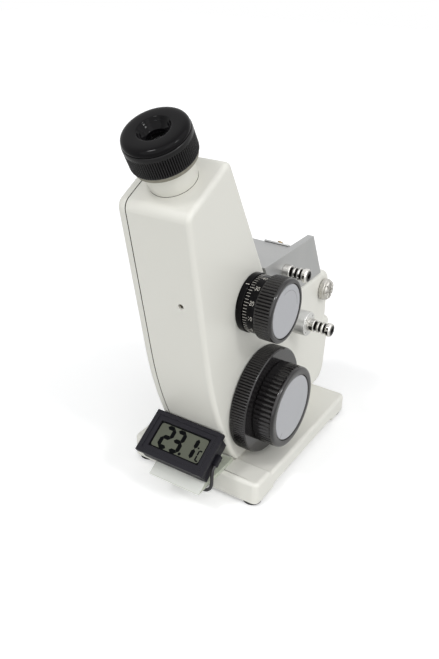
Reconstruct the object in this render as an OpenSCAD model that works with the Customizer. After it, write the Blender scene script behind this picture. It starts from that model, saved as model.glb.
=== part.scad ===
// Abbe refractometer with a panel thermometer.
// X is across the instrument with the hand knobs at +X, Y runs from the operator to the rear, Z is up.
// The origin lies under the middle of the base, on the surface that the feet stand on.

/* [Base] */
// Width of the base
base_w = 95; // [90:1:110]
// Length of the base
base_l = 130; // [126:1:140]
// Thickness of the base plate
base_t = 12; // [11:0.5:14]
// Length of the raised nose at the front
nose_l = 18.4; // [16:0.2:22]
// Height of the nose above the plate
nose_rise = 3; // [2:0.5:5]
// Radius of the plan corners of the base
base_corner = 4; // [2:0.5:6]
// Depth of the relief between the foot pads
relief = 2.5; // [1:0.5:3]
// Radius of a rubber foot
foot_r = 6; // [5:0.5:6.5]
// Height of a foot below the base
foot_h = 3; // [2:0.5:4]
// Depth of the pocket that holds a foot
foot_pocket = 2; // [1:0.5:3]
// Distance of a foot centre from the side of the base
foot_inset = 7; // [7:0.5:12]
// Distance of the relief from the front and rear of the base
relief_end = 21.5; // [20:0.5:26]

/* [Case] */
// Width of the case over its cover
case_w = 45; // [44:0.5:48]
// Thickness of the side cover
cover_t = 6; // [5:0.5:7]
// Width of the seam groove round the cover
seam_gap = 0.6; // [0.4:0.1:0.8]
// Depth of the seam groove
seam_depth = 1.2; // [0.8:0.1:1.6]
// Wall thickness of the case
wall = 4; // [3.5:0.25:4.5]
// Tilt of the telescope from the vertical
tilt = 28.6; // [27:0.1:30]
// Distance of the eyepiece foot in front of the middle
eye_y = 80.1; // [79:0.1:81]
// Height of the eyepiece foot
eye_z = 203.2; // [202:0.1:205]
// Length of the top face in front of the eyepiece axis
head_front = 21.8; // [20:0.2:24]
// Length of the top face behind the eyepiece axis
head_back = 20; // [19:0.2:22]
// Lean of the front face
front_lean = 10.7; // [10:0.1:11]
// Height at which the front face starts to curve
front_bend_z = 99; // [95:1:105]
// Radius of the curved front face
front_r = 237; // [230:1:245]
// Height of the prism tower
tower_z = 107.5; // [106:0.5:109]
// Rear face of the tower
tower_y = 74; // [73.5:0.5:76]
// Radius of the tower's rear top corner
tower_r = 10; // [8:0.5:11]
// Furthest rear point of the case
tail_y = 82.5; // [81:0.5:84]
// Height of the shelf behind the tower
tail_z = 67.5; // [64:0.5:70]
// Radius of the case screws
case_screw_r = 1.5; // [1.25:0.25:2]
// Radius of the base screws
base_screw_r = 2.5; // [2:0.5:3]

/* [Eyepiece] */
// Outer radius of the neck
neck_r = 13; // [12.5:0.25:13.5]
// Height of the neck above the case
neck_h = 12.9; // [12:0.1:15]
// Radius of the telescope tube
tube_r = 10; // [9.5:0.25:10.5]
// Wall of the telescope tube
tube_wall = 1.5; // [1:0.25:2]
// Radius of the grey stop ring
stop_r = 16.8; // [14:0.1:17]
// Height of the stop ring
stop_h = 2; // [1.5:0.1:2.5]
// Outer radius of the focusing ring
focus_r = 17.8; // [17.5:0.1:19]
// Height of the focusing ring
focus_h = 13; // [12:0.2:14]
// Outer radius of the eyecup
cup_r = 16.6; // [16:0.1:17]
// Height of the eyecup above the focusing ring
cup_h = 3.6; // [3.2:0.1:4.4]
// Radius of the eyecup's mouth
mouth_r = 8.6; // [8:0.1:9.5]
// Radius of the eye hole
eye_hole_r = 5; // [4.5:0.1:5.5]

/* [Dispersion knob] */
// Height of the dispersion axis
disp_z = 124.7; // [124:0.1:125.4]
// Radius of the fixed index ring
index_ring_r = 17.8; // [17:0.1:18.4]
// Width of the fixed index ring
index_ring_w = 4; // [3:0.2:5]
// Radius of the scale ring
scale_ring_r = 17.3; // [16.5:0.1:17.8]
// Width of the scale ring
scale_ring_w = 7.8; // [7:0.2:9]
// Radius of the dispersion knob
disp_knob_r = 19.2; // [18.6:0.1:20]
// Width of the dispersion knob
disp_knob_w = 11.6; // [10:0.2:13]
// Radius of its grey disc
disp_disc_r = 16; // [15:0.1:16.6]
// Number of ribs on the dispersion knob
disp_ribs = 60; // [48:1:66]
// Radius of the dispersion shaft
disp_shaft_r = 4; // [3.5:0.25:4.5]

/* [Index knob] */
// Distance of the index axis in front of the middle
index_y = 24.8; // [24:0.1:25.5]
// Height of the index axis
index_z = 53.3; // [53:0.1:54]
// Radius of the knurled flange
flange_r = 34.6; // [33.5:0.1:35]
// Width of the knurled flange
flange_w = 11; // [10:0.2:12]
// Radius of the index knob
index_knob_r = 26.3; // [25:0.1:27.5]
// Width of the index knob
index_knob_w = 14.4; // [13:0.2:16]
// Radius of its grey disc
index_disc_r = 21; // [20:0.1:22]
// Number of ribs on the index knob
index_ribs = 52; // [44:1:56]
// Number of flutes on the flange
flange_flutes = 116; // [100:4:124]
// Radius of the index shaft
index_shaft_r = 5; // [4.5:0.25:5.5]
// Radius of the pinion on the index shaft
pinion_r = 3; // [2.75:0.25:3.5]
// Depth of the recess that holds a grey disc
disc_recess = 1; // [0.8:0.1:1.4]

/* [Scale drive] */
// Distance of the sector pivot in front of the middle
pivot_y = 13; // [12.5:0.5:14]
// Height of the sector pivot
pivot_z = 78; // [77.5:0.5:79]
// Radius of the sector pivot pin
pivot_r = 2; // [1.75:0.25:2.5]
// Thickness of the sector plate
sector_t = 5; // [4:0.5:6]
// Outer radius of the scale plate
scale_r = 44; // [42:1:46]
// Radial width of the scale plate
scale_band = 9; // [8:1:10]
// Half of the angle that the scale plate spans
scale_half = 14; // [12:1:16]

/* [Prisms] */
// Gap between the closed prism seats
prism_gap = 1; // [0.8:0.1:1.4]
// Height of the lid
lid_h = 31.7; // [30:0.1:33]
// Left face of the lid
lid_left = 20; // [18:0.5:21]
// Rear end of the lid's bottom face
lid_rear = 59; // [58:0.5:60]
// Rear end of the lid's top face
lid_top_rear = 16.6; // [15:0.2:18]
// Rear end of the cheek's top edge
cheek_rear = 42.8; // [41:0.2:44]
// Thickness of the cheek
cheek_t = 4.6; // [4:0.2:5.2]
// Height of the lower prism seat
seat_h = 28.7; // [27:0.1:29.5]
// Width of each prism
prism_w = 18; // [16:0.5:19]
// Front edge of the prism faces
prism_y0 = 10; // [9:0.5:11]
// Length of the prism faces
prism_l = 32; // [30:0.5:33]
// Distance of the hinge axis behind the middle
hinge_y = 63.8; // [63:0.1:64.5]
// Height of the hinge axis
hinge_z = 94.5; // [94:0.1:95.5]
// Radius of the hinge pin
hinge_r = 3; // [2.5:0.25:3.5]
// Half width of the lid's hinge tongue
tongue_half = 6; // [5:0.5:7]
// Radius of the hinge tongue
tongue_r = 8; // [7:0.25:8.5]
// Radius of the lock knob
lock_r = 7.6; // [6.5:0.1:8]
// Width of the lock knob
lock_w = 5.4; // [5:0.1:7]

/* [Nozzles] */
// Radius of the collar that carries a lower nozzle
collar_r = 8.2; // [7.5:0.1:8.6]
// Projection of that collar from the case
collar_out = 11.5; // [9:0.5:12]
// Distance of the lower nozzles behind the middle
low_nozzle_y = 21; // [20:0.5:22]
// Height of the lower nozzles
low_nozzle_z = 88; // [87.5:0.5:89]
// Distance of the upper nozzles behind the middle
lid_nozzle_y = 4; // [3:0.5:6]
// Height of the upper nozzles
lid_nozzle_z = 129.5; // [128:0.5:131]
// Length of a nozzle
nozzle_l = 16.5; // [15:0.5:18]
// Largest radius of a nozzle
nozzle_r = 4.5; // [4:0.1:5]
// Radius of the water way through a nozzle
nozzle_bore = 1.6; // [1.25:0.05:2]

/* [Thermometer] */
// Clearance between the display's top edge and the case
display_gap = 0.89; // [0.8:0.01:2]
// Height of the display's middle
display_z = 41.1; // [41:0.1:42]
// Slope of the display face
display_slope = 32; // [31:0.5:33]
// Width of the display bezel
bezel_w = 49; // [47:0.5:50]
// Height of the display bezel
bezel_h = 29.2; // [28:0.1:30]
// Thickness of the display bezel
bezel_t = 3; // [2.5:0.1:3.5]
// Depth of the whole display
display_d = 13.2; // [12.8:0.1:13.4]
// Width of the display window
window_w = 36.6; // [35:0.2:38]
// Height of the display window
window_h = 17.6; // [16:0.2:18]
// Thickness of the clear sheet
sheet_t = 3; // [2.5:0.1:3]
// Width of the clear bracket
sheet_w = 37; // [36:0.5:39]
// Shift of the bracket to the right of the middle
sheet_x = 3.8; // [2:0.2:5]
// Length of the bracket's sloping leg
leg_l = 30; // [28:0.5:31]
// Diameter of the probe lead
lead_d = 2.2; // [2:0.1:2.6]

/* [Fits] */
// Radial clearance of a turning fit
run_fit = 0.05; // [0.03:0.01:0.08]
// Radial clearance of a fixed fit
set_fit = 0.02; // [0.01:0.01:0.04]
// Gap between pieces that pass each other
pass_gap = 0.3; // [0.3:0.05:0.4]

/* [Hidden] */
$fn = 64;

ivory = [0.86, 0.855, 0.82];
black = [0.13, 0.125, 0.13];
grey_metal = [0.64, 0.66, 0.665];
disc_grey = [0.68, 0.69, 0.71];
nickel = [0.75, 0.73, 0.69];
steel = [0.6, 0.61, 0.63];
brass = [0.72, 0.58, 0.3];
glass = [0.75, 0.85, 0.88, 0.6];
clear = [0.8, 0.82, 0.79, 0.7];

over = 1;
case_right = case_w / 2;
case_left = -case_w / 2;
seam_x = case_left + cover_t;
inner_right = case_right - wall;
floor_z = foot_h + base_t;
nose_z = floor_z + nose_rise;
front_y = -base_l / 2;

// Corners of the case in the YZ plane
fold = [-eye_y - head_front * cos(tilt), eye_z - head_front * sin(tilt)];
crown = [-eye_y + head_back * cos(tilt), eye_z + head_back * sin(tilt)];
bend = [fold[0] + (fold[1] - front_bend_z) * tan(front_lean), front_bend_z];
bend_centre = bend + front_r * [cos(front_lean), sin(front_lean)];
foot_angle = asin((bend_centre[1] - floor_z) / front_r);
nape_y = crown[0] + (crown[1] - tower_z) * tan(tilt);
tail_foot = 78;
tail_foot_r = 12;
tail_r = 6;

// Y of the case's front face at height z, in its curved part
function front_at(z) = bend_centre[0] - front_r * cos(asin((bend_centre[1] - z) / front_r));

function unit(v) = v / norm(v);
function turn(a) = a > 180 ? a - 360 : a < -180 ? a + 360 : a;

// Corner b of a path a, b, c rounded with radius r
function corner(a, b, c, r, n = 6) = r == 0 ? [b] :
  let (u = unit(a - b), v = unit(c - b), half = acos(u * v) / 2,
       m = b + unit(u + v) * r / sin(half), s = b + u * r / tan(half) - m,
       e = b + v * r / tan(half) - m, a0 = atan2(s[1], s[0]), da = turn(atan2(e[1], e[0]) - a0))
  [for (k = [0:n]) m + r * [cos(a0 + da * k / n), sin(a0 + da * k / n)]];

// Outline from corners given as [y, z, radius]
function rounded(c) = let (n = len(c), p = [for (q = c) [q[0], q[1]]])
  [for (i = [0:n - 1]) each corner(p[(i + n - 1) % n], p[i], p[(i + 1) % n], c[i][2])];

// Outline moved inwards by d, for an outline that runs anticlockwise
function inset(p, d) = let (n = len(p))
  [for (i = [0:n - 1])
    let (u = unit(p[i] - p[(i + n - 1) % n]), v = unit(p[(i + 1) % n] - p[i]),
         nu = [-u[1], u[0]], nv = [-v[1], v[0]])
    p[i] + d * (nu + nv) / (1 + nu * nv)];

case_corners = concat(
  [[tail_foot, floor_z, tail_foot_r], [tail_y, tail_z, tail_r], [tower_y, tail_z, 0],
   [tower_y, tower_z, tower_r], [nape_y, tower_z, 0], [crown[0], crown[1], 3.5], [fold[0], fold[1], 6]],
  [for (k = [0:10]) let (a = front_lean + (foot_angle - front_lean) * k / 10)
    [bend_centre[0] - front_r * cos(a), bend_centre[1] - front_r * sin(a), 0]]);

// Corners of an outline moved inwards by d, each with its radius kept concentric
function inset_corners(c, d) = let (p = inset([for (q = c) [q[0], q[1]]], d))
  [for (i = [0:len(c) - 1]) [p[i][0], p[i][1], max(c[i][2] - d, 0)]];

case_outline = rounded(case_corners);
case_cavity = rounded(inset_corners(case_corners, wall));
seam_outline = rounded(inset_corners(case_corners, seam_depth));

// Spots of the cover screws as [y, z]
cover_spots = [[-90, 183], [-59.8, 196], [-75, 104], [-34.5, 150], [-40, 26], [66, 30], [66, 82]];
// Spots of the base screws as [x, y]
base_spots = [[-8, -36], [13, -36], [-8, 54], [13, 54]];
base_boss_r = 6;
base_boss_h = 11;

// Eyepiece heights along the telescope axis, from the top face of the case
spigot_h = 5;
spigot_r = neck_r - 1;
tube_end = 75.5;
comp_d = (eye_z - disp_z) / cos(tilt);
disp_y = eye_y - comp_d * sin(tilt);
focus_z = neck_h + stop_h + pass_gap;
cup_seat = focus_z + focus_h - 3;
sleeve_r = 11;
cell_r = 8.4;

// Bevel wheels of the compensator: pitch radius, small radius and inset of the cones
bevel_r = 9;
bevel_in = 6.5;
bevel_play = 0.25;
cell_body_r = 12.1;
cell_body_h = 3;
cage_r = 15;
light_r = 5;

// Outer ends of the knobs along X
scale_x = case_right + index_ring_w + pass_gap;
disp_knob_x = scale_x + scale_ring_w;
disp_face_x = disp_knob_x + disp_knob_w;
flange_x = case_right + pass_gap;
index_knob_x = flange_x + flange_w;
index_face_x = index_knob_x + index_knob_w;
sector_x = 2;
centre_gap = norm([pivot_y - index_y, pivot_z - index_z]);
sector_r = centre_gap - pinion_r - pass_gap;
mesh_angle = atan2(index_z - pivot_z, pivot_y - index_y);

// Lower seat and its pocket in the tower
seat_top = tower_z - wall;
seat_floor = tower_z - seat_h;
seat_y0 = 2;
seat_y1 = 50;
seat_right = case_right - 6;
land_y0 = 6;
land_y1 = 46;
land_x0 = -11;
land_x1 = 13;
core_z = seat_floor - wall;

lid_z0 = tower_z + prism_gap;
lid_z1 = lid_z0 + lid_h;
lid_clear = 0.8;
lid_front0 = nape_y + lid_clear - prism_gap * tan(tilt);
lid_front1 = lid_front0 - lid_h * tan(tilt);
window_z = lid_z0 + 3.5;
window_y = lid_rear - 12;
shade_gap = 1;

// Height of the light window's slope at y
function slope_z(y) = lid_z1 - (y - lid_top_rear) * (lid_z1 - window_z) / (window_y - lid_top_rear);

display_y = display_gap + bezel_h / 2 * cos(display_slope)
  - front_at(display_z + bezel_h / 2 * sin(display_slope));

// Y of the display back's plane where it meets the top of the nose
apex_y = -display_y - (display_z - nose_z) / tan(display_slope) + display_d / sin(display_slope);
leg_dir = [cos(display_slope), sin(display_slope)];
leg_down = sheet_t * [sin(display_slope), -cos(display_slope)];
leg_inner = apex_y + sheet_t / sin(display_slope) + sheet_t / tan(display_slope);
sheet_end = front_at(nose_z + sheet_t) - 0.4;

// Calibration screw
calibration_r = 1.7;
calibration_z = 138.5;
calibration_x = 9.7;

// Prism cells of the compensator
cell_low = bevel_r + 0.1;
cell_top = cell_low + cell_body_h + pass_gap;

// Scale drive and its light
bush_r = 7.5;
mirror_angle = 66.5;
scale_angle = -42;
mirror_shift = 8.6;
mirror_w = 14;
mirror_t = 1.5;
mirror_seat_t = 3.5;
sector_hub_r = pivot_r + 3.5;
sector_hub_x = -8;
sector_half = 22;
sector_band = 7;
scale_t = 1.5;
condenser_x = 3;
condenser_z = 45;
condenser_r = 6;

// Prisms and the lid, as outlines in the YZ plane
prism_x0 = (land_x0 + land_x1 - prism_w) / 2;
prism_x1 = prism_x0 + prism_w;
prism_deep = 14;
prism_shallow = 3;
prism_mid = prism_y0 + prism_l / 2;
low_prism = [[prism_y0, tower_z], [prism_y0, tower_z - prism_deep],
  [prism_y0 + prism_l, tower_z - prism_shallow], [prism_y0 + prism_l, tower_z]];
lid_block = [[lid_front0, lid_z0], [lid_rear, lid_z0], [lid_rear - 1.5, window_z], [window_y, window_z],
  [lid_top_rear, lid_z1], [lid_front1, lid_z1]];
lid_cheek = [[lid_front0, lid_z0], [lid_rear, lid_z0], [cheek_rear, lid_z1], [lid_front1, lid_z1]];
top_prism = [[prism_y0, lid_z0], [prism_y0 + prism_l, lid_z0],
  [prism_y0 + prism_l, slope_z(prism_y0 + prism_l)], [prism_mid, slope_z(prism_mid)]];
top_prism_way = unit(top_prism[3] - top_prism[0]);

// Web from the rear edge of the lid, tangent to the round end of the hinge tongue
tongue_top = [lid_rear - 1.6 - hinge_y, window_z - hinge_z];
tongue_angle = atan2(tongue_top[1], tongue_top[0]) - acos(tongue_r / norm(tongue_top));
tongue_web = [for (p = [[-tongue_r, 0], tongue_r * [cos(tongue_angle), sin(tongue_angle)], tongue_top,
  [-tongue_r, tongue_top[1]]]) [hinge_y, hinge_z] + p];

// Light shade
shade_x0 = 0.3;
shade_x1 = case_right - cheek_t - 0.3;
shade_screw_x = 10.3;
shade_screw_r = 1.2;
shade_pin_r = 0.8;
shade_t = 1.2;
shade_l = 24;
leaf_t = 1;
leaf_l = 6.5;
leaf_lip = 0.8;
shade_screw_down = 1.9;
barrel_r = 1.6;
slope_angle = atan2(lid_z1 - window_z, window_y - lid_top_rear);
shade_pin_down = leaf_l + 1.4;
shade_pin_off = barrel_r + 0.4;

// Thermometer and its lead
sheet_screws = [sheet_x - 12.8, sheet_x + 4.2];
sheet_screw_y = (front_y + sheet_end) / 2;
sheet_left = sheet_x - sheet_w / 2;
sheet_right = sheet_x + sheet_w / 2;
body_w = bezel_w - 2.8;
body_h = bezel_h - 3.2;
lead_hole = [11, 8.3];
grommet_r = 3.5;
grommet_l = 4.5;

// Route of the probe lead from the display to the base, chosen by hand
lead_route = [[24.4, 2.35, 31.6], [24.4, 1.1, 30.8], [24.5, 0, 29.8], [24.7, -0.7, 28.4],
  [24.8, -1.1, 26.6], [24.9, -1.3, 24.5], [24.9, -1.5, 22.4], [24.9, -1.7, 20.4], [24.6, -2.1, 18.8],
  [23.8, -2.4, 17.3], [22.5, -2.7, 16.2], [20.9, -2.8, 15.6], [19.2, -2.5, 15.2], [17.2, -1.6, 14.5],
  [15.3, -0.1, 13.5], [13.7, 1.9, 12.3], [12.4, 4.4, 11], [11.5, 7.1, 9.8], [11.1, 9.8, 8.9],
  [11, 12, 8.4], [11, 14, 8.3]];
lead_last = len(lead_route) - 1;
lead_shift = front_y - 0.4 + display_y - lead_route[lead_last][1];
lead_points = [for (k = [0:lead_last]) lead_route[k] + [0, lead_shift * k / lead_last - display_y, 0]];

module along_x(points, x0, x1) translate([x0, 0, 0]) rotate([90, 0, 90])
  linear_extrude(x1 - x0) polygon(points);

module rod_x(r, x0, x1, y, z) translate([x0, y, z]) rotate([0, 90, 0]) cylinder(r = r, h = x1 - x0);

module box(x0, x1, y0, y1, z0, z1) translate([x0, y0, z0]) cube([x1 - x0, y1 - y0, z1 - z0]);

module at_eye() translate([0, -eye_y, eye_z]) rotate([tilt, 0, 0]) children();

module at_display() translate([0, -display_y, display_z]) rotate([display_slope, 0, 0]) children();

// Everything in the frame of an axis that runs along +X
module at_x(x, y, z) translate([x, y, z]) rotate([0, 90, 0]) children();

module tube(r, bore, z0, z1) translate([0, 0, z0]) difference() {
  cylinder(r = r, h = z1 - z0);
  translate([0, 0, -over]) cylinder(r = bore, h = z1 - z0 + 2 * over);
}

// Corner-rounded plan of the base
module base_plan() {
  w = base_w / 2 - base_corner;
  l = base_l / 2 - base_corner;
  polygon([for (q = [[1, 1, 0], [-1, 1, 90], [-1, -1, 180], [1, -1, 270]]) for (k = [0:5])
    [q[0] * w + base_corner * cos(q[2] + 18 * k), q[1] * l + base_corner * sin(q[2] + 18 * k)]]);
}

foot_spots = [for (sx = [-1, 1]) for (sy = [-1, 1])
  [sx * (base_w / 2 - foot_inset), sy * (base_l / 2 - foot_inset)]];

module base_plate() color(ivory) difference() {
  union() {
    translate([0, 0, foot_h]) linear_extrude(base_t) base_plan();
    intersection() {
      translate([0, 0, foot_h]) linear_extrude(base_t + nose_rise) base_plan();
      box(-base_w, base_w, front_y - over, front_y + nose_l, foot_h, nose_z);
    }
  }
  for (p = foot_spots)
    translate([p[0], p[1], foot_h - over]) cylinder(r = foot_r + set_fit, h = foot_pocket + over);
  box(-base_w, base_w, front_y + relief_end, -front_y - relief_end, foot_h - over, foot_h + relief);
  box(case_left - pass_gap, case_right + pass_gap, front_at(nose_z) - pass_gap, front_y + nose_l + over,
    floor_z, nose_z + over);
  for (p = base_spots) translate([p[0], p[1], 0]) {
    cylinder(r = base_screw_r + run_fit, h = floor_z + over);
    cylinder(r = 2 * base_screw_r + pass_gap, h = foot_h + relief + base_screw_r + over);
  }
  for (x = sheet_screws) translate([x, sheet_screw_y, nose_z - 6])
    cylinder(r = case_screw_r + set_fit, h = 6 + over);
  translate([lead_hole[0], front_y + grommet_l, lead_hole[1]]) rotate([90, 0, 0])
    cylinder(r = grommet_r, h = grommet_l + over);
}

module rubber_feet() color(black) for (p = foot_spots) translate([p[0], p[1], 0])
  cylinder(r = foot_r, h = foot_h + foot_pocket);

module base_screws() color(steel) for (p = base_spots) translate([p[0], p[1], foot_h + relief + over]) {
  difference() {
    cylinder(r = 2 * base_screw_r, h = base_screw_r);
    translate([0, 0, -over]) cylinder(r = base_screw_r, h = 2 * over, $fn = 6);
  }
  cylinder(r = base_screw_r, h = floor_z + base_boss_h - 3 - foot_h - relief);
}

// Solid block inside the case that carries the prisms
module tower_core() box(seam_x, case_right, seat_y0 - 3, tower_y, core_z, tower_z);

module cover_bosses() for (p = cover_spots) rod_x(4, seam_x, case_right, p[0], p[1]);

module base_bosses() for (p = base_spots)
  translate([p[0], p[1], floor_z]) cylinder(r = base_boss_r, h = base_boss_h);

module shaft_bosses() rod_x(disp_shaft_r + 3.5, 12, case_right, -disp_y, disp_z);

// Ribs that cradle the telescope tube and the compensator cage
module cradles() at_eye() {
  translate([-2, -14, -52]) cube([inner_right + 3, 28, 6]);
  translate([4, -cage_r - 3, -comp_d - 15.5]) cube([inner_right - 3, 2 * cage_r + 6, 5]);
}

module housing() color(ivory) difference() {
  along_x(case_outline, seam_x, case_right);
  difference() {
    along_x(case_cavity, seam_x - over, inner_right);
    tower_core();
    cover_bosses();
    base_bosses();
    shaft_bosses();
    cradles();
  }
  for (p = cover_spots) rod_x(case_screw_r + set_fit, seam_x - over, seam_x + 9.8, p[0], p[1]);
  for (p = base_spots) translate([p[0], p[1], floor_z - over])
    cylinder(r = base_screw_r + set_fit, h = base_boss_h - 1);
  at_eye() {
    translate([0, 0, -spigot_h - wall]) cylinder(r = spigot_r + set_fit, h = spigot_h + wall + over);
    translate([0, 0, -tube_end]) cylinder(r = tube_r + set_fit, h = tube_end);
    translate([0, 0, -comp_d - 17]) cylinder(r = cage_r + set_fit, h = 34);
  }
  rod_x(disp_shaft_r + run_fit, 0, case_right + over, -disp_y, disp_z);
  rod_x(bush_r + set_fit, 0, case_right + over, -index_y, index_z);
  // Room for the lower prism seat, its top opening and the light path to the mirror
  box(seam_x - over, seat_right + pass_gap, seat_y0 - pass_gap, seat_y1 + pass_gap, seat_floor, seat_top);
  box(land_x0 - pass_gap, land_x1 + pass_gap, land_y0 - pass_gap, land_y1 + pass_gap, seat_floor,
    tower_z + over);
  box(-8, 8, -9, seat_y0, tower_z - 20, tower_z - 5);
  rod_x(collar_r + set_fit, seat_right - over, case_right + over, low_nozzle_y, low_nozzle_z);
  // Slot and bore of the hinge
  box(-tongue_half - pass_gap, tongue_half + pass_gap, hinge_y - tongue_r - 3, tower_y + over,
    hinge_z - tongue_r - 3, tower_z + over);
  rod_x(hinge_r + set_fit, seam_x - over, case_right + over, hinge_y, hinge_z);
  rod_x(pivot_r + set_fit, 0, inner_right + 3, -pivot_y, pivot_z);
  translate([condenser_x, tail_y + over, condenser_z]) rotate([90, 0, 0]) cylinder(r = condenser_r, h = 15);
  at_calibration() translate([0, 0, -wall - 2]) cylinder(r = calibration_r + run_fit, h = wall + 4);
}

module side_cover() color(ivory) difference() {
  union() {
    along_x(case_outline, case_left, seam_x - seam_gap);
    along_x(seam_outline, case_left + over, seam_x);
  }
  for (p = cover_spots) {
    rod_x(case_screw_r + run_fit, case_left - over, seam_x + over, p[0], p[1]);
    rod_x(2 * case_screw_r + run_fit, case_left - over, case_left + case_screw_r + 0.5, p[0], p[1]);
  }
  rod_x(collar_r + set_fit, case_left - over, seam_x + over, low_nozzle_y, low_nozzle_z);
}

module cover_screws() color(nickel) for (p = cover_spots) difference() {
  union() {
    rod_x(2 * case_screw_r, case_left + 0.5, case_left + case_screw_r + 0.5, p[0], p[1]);
    rod_x(case_screw_r, case_left + 0.5, seam_x + 9, p[0], p[1]);
  }
  box(case_left, case_left + 1.2, p[0] - 0.4, p[0] + 0.4, p[1] - 4, p[1] + 4);
}

// Frame of the adjusting screw: Z points out of the front face
module at_calibration()
  translate([calibration_x, fold[0] + (fold[1] - calibration_z) * tan(front_lean), calibration_z])
    rotate([90 + front_lean, 0, 0]) children();

module calibration_screw() color(steel) at_calibration() difference() {
  translate([0, 0, -10]) cylinder(r = calibration_r, h = 8.6);
  translate([-0.4, -3, -2.2]) cube([0.8, 6, 2]);
}

module eyepiece_neck() color(ivory) at_eye() difference() {
  union() {
    cylinder(r = neck_r, h = neck_h);
    translate([0, 0, -spigot_h]) cylinder(r = spigot_r, h = spigot_h + over);
    cylinder(r = sleeve_r, h = cup_seat - pass_gap);
  }
  translate([0, 0, -spigot_h - over]) cylinder(r = tube_r + set_fit, h = spigot_h + over);
  translate([0, 0, -over]) cylinder(r = cell_r + run_fit, h = 2 * neck_h + focus_h);
}

module stop_ring() color(grey_metal) at_eye() tube(stop_r, sleeve_r + set_fit, neck_h, neck_h + stop_h);

// Straight flutes round a turned part of radius r between heights z0 and z1
module flutes(r, count, depth, z0, z1) for (k = [0:count - 1]) rotate([0, 0, 360 * k / count])
  translate([r - depth, -PI * r / count / 2, z0]) cube([2 * depth, PI * r / count, z1 - z0]);

module focus_ring() color(black) at_eye() difference() {
  tube(focus_r, sleeve_r + run_fit, focus_z, focus_z + focus_h);
  flutes(focus_r, 90, 0.35, focus_z + 0.8, focus_z + focus_h - 2.6);
  for (a = [-142, 38]) rotate([0, 0, a]) translate([0, 0, focus_z + focus_h - 1.4])
    rotate([0, 90, 0]) translate([0, 0, focus_r - 2.5]) cylinder(r = 0.9, h = 5);
}

module eyecup() color(black) at_eye() translate([0, 0, focus_z + focus_h]) rotate_extrude() polygon([
  [eye_hole_r, cup_seat - focus_z - focus_h], [sleeve_r, cup_seat - focus_z - focus_h], [sleeve_r, 0],
  [cup_r - 0.1, 0], [cup_r - 0.1, 0.3], [cup_r + 0.3, 0.6], [cup_r + 0.3, 1.2], [cup_r, cup_h - 1.3],
  [cup_r - 0.7, cup_h - 0.5], [cup_r - 2, cup_h - 0.1],
  [cup_r - 4.5, cup_h], [mouth_r + 0.4, cup_h], [mouth_r, cup_h - 0.3], [eye_hole_r, cup_h - 4.8]]);

module lens_cell() color(black) at_eye() difference() {
  tube(cell_r, cell_r - 1.4, -2, cup_seat);
  translate([0, 0, cup_seat - 3]) cylinder(r = cell_r - 0.7, h = 4);
}

module eye_lens() color(glass) at_eye() translate([0, 0, cup_seat - 3]) cylinder(r = cell_r - 0.72, h = 2.9);

module field_lens() color(glass) at_eye() translate([0, 0, 6]) cylinder(r = cell_r - 1.42, h = 3);

module reticle() color(glass) at_eye() translate([0, 0, -7])
  cylinder(r = tube_r - tube_wall - set_fit, h = 1.5);

module telescope_tube() color(black) at_eye() tube(tube_r, tube_r - tube_wall, -tube_end, -2.5);

module objective_lens() color(glass) at_eye() translate([0, 0, -tube_end + 2])
  cylinder(r = tube_r - tube_wall - set_fit, h = 4);

module compensator_cage() color(steel) at_eye() translate([0, 0, -comp_d]) difference() {
  translate([0, 0, -cell_top - 2]) cylinder(r = cage_r, h = 2 * cell_top + 5);
  translate([0, 0, -cell_top]) cylinder(r = cell_body_r + run_fit, h = 2 * cell_top);
  translate([0, 0, -cell_top - 2 - over]) cylinder(r = light_r + 1, h = 3 + over);
  translate([0, 0, cell_top - over]) cylinder(r = tube_r + set_fit, h = 5);
  rotate([0, 90, 0]) cylinder(r = bevel_r + 1.5, h = cage_r + over);
}

// Truncated bevel cone with its apex at the origin, opening along +Z
module bevel() translate([0, 0, bevel_in])
  cylinder(r1 = bevel_in - bevel_play, r2 = bevel_r - bevel_play, h = bevel_r - bevel_in);

module amici_cell() difference() {
  union() {
    bevel();
    translate([0, 0, bevel_r]) cylinder(r = bevel_r - bevel_play, h = cell_low - bevel_r);
    translate([0, 0, cell_low]) cylinder(r = cell_body_r, h = cell_body_h);
  }
  cylinder(r = light_r, h = cell_top + over);
}

module amici_prism() translate([0, 0, bevel_in + 0.2])
  cylinder(r = light_r - set_fit, h = cell_low + cell_body_h - bevel_in - 0.4);

module at_compensator(side) at_eye() translate([0, 0, -comp_d]) rotate([side > 0 ? 0 : 180, 0, 0]) children();

module amici_cell_upper() color(brass) at_compensator(1) amici_cell();
module amici_cell_lower() color(brass) at_compensator(-1) amici_cell();
module amici_prism_upper() color(glass) at_compensator(1) amici_prism();
module amici_prism_lower() color(glass) at_compensator(-1) amici_prism();

module dispersion_shaft() color(steel) at_x(0, -disp_y, disp_z) {
  bevel();
  translate([0, 0, bevel_r - bevel_play])
    cylinder(r = disp_shaft_r, h = disp_face_x - 3 - bevel_r + bevel_play);
}

module index_ring() color(black) at_x(0, -disp_y, disp_z) difference() {
  tube(index_ring_r, disp_shaft_r + 1, case_right, case_right + index_ring_w);
  rotate([0, 0, 215]) translate([index_ring_r - 0.3, -0.25, case_right + 1.6]) cube([1, 0.5, 3]);
}

module dispersion_scale() color(black) at_x(0, -disp_y, disp_z)
  tube(scale_ring_r, disp_shaft_r + set_fit, scale_x, disp_knob_x);

// Ribbed hand knob with a blind bore and a recess for its disc, along +Z
module hand_knob(r, w, shaft, disc, ribs) difference() {
  cylinder(r = r, h = w);
  translate([0, 0, -over]) cylinder(r = shaft + set_fit, h = w - 3 + over);
  translate([0, 0, w - disc_recess]) cylinder(r = disc + set_fit, h = disc_recess + over);
  flutes(r, ribs, 0.5, -over, w - 1.6);
}

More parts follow.
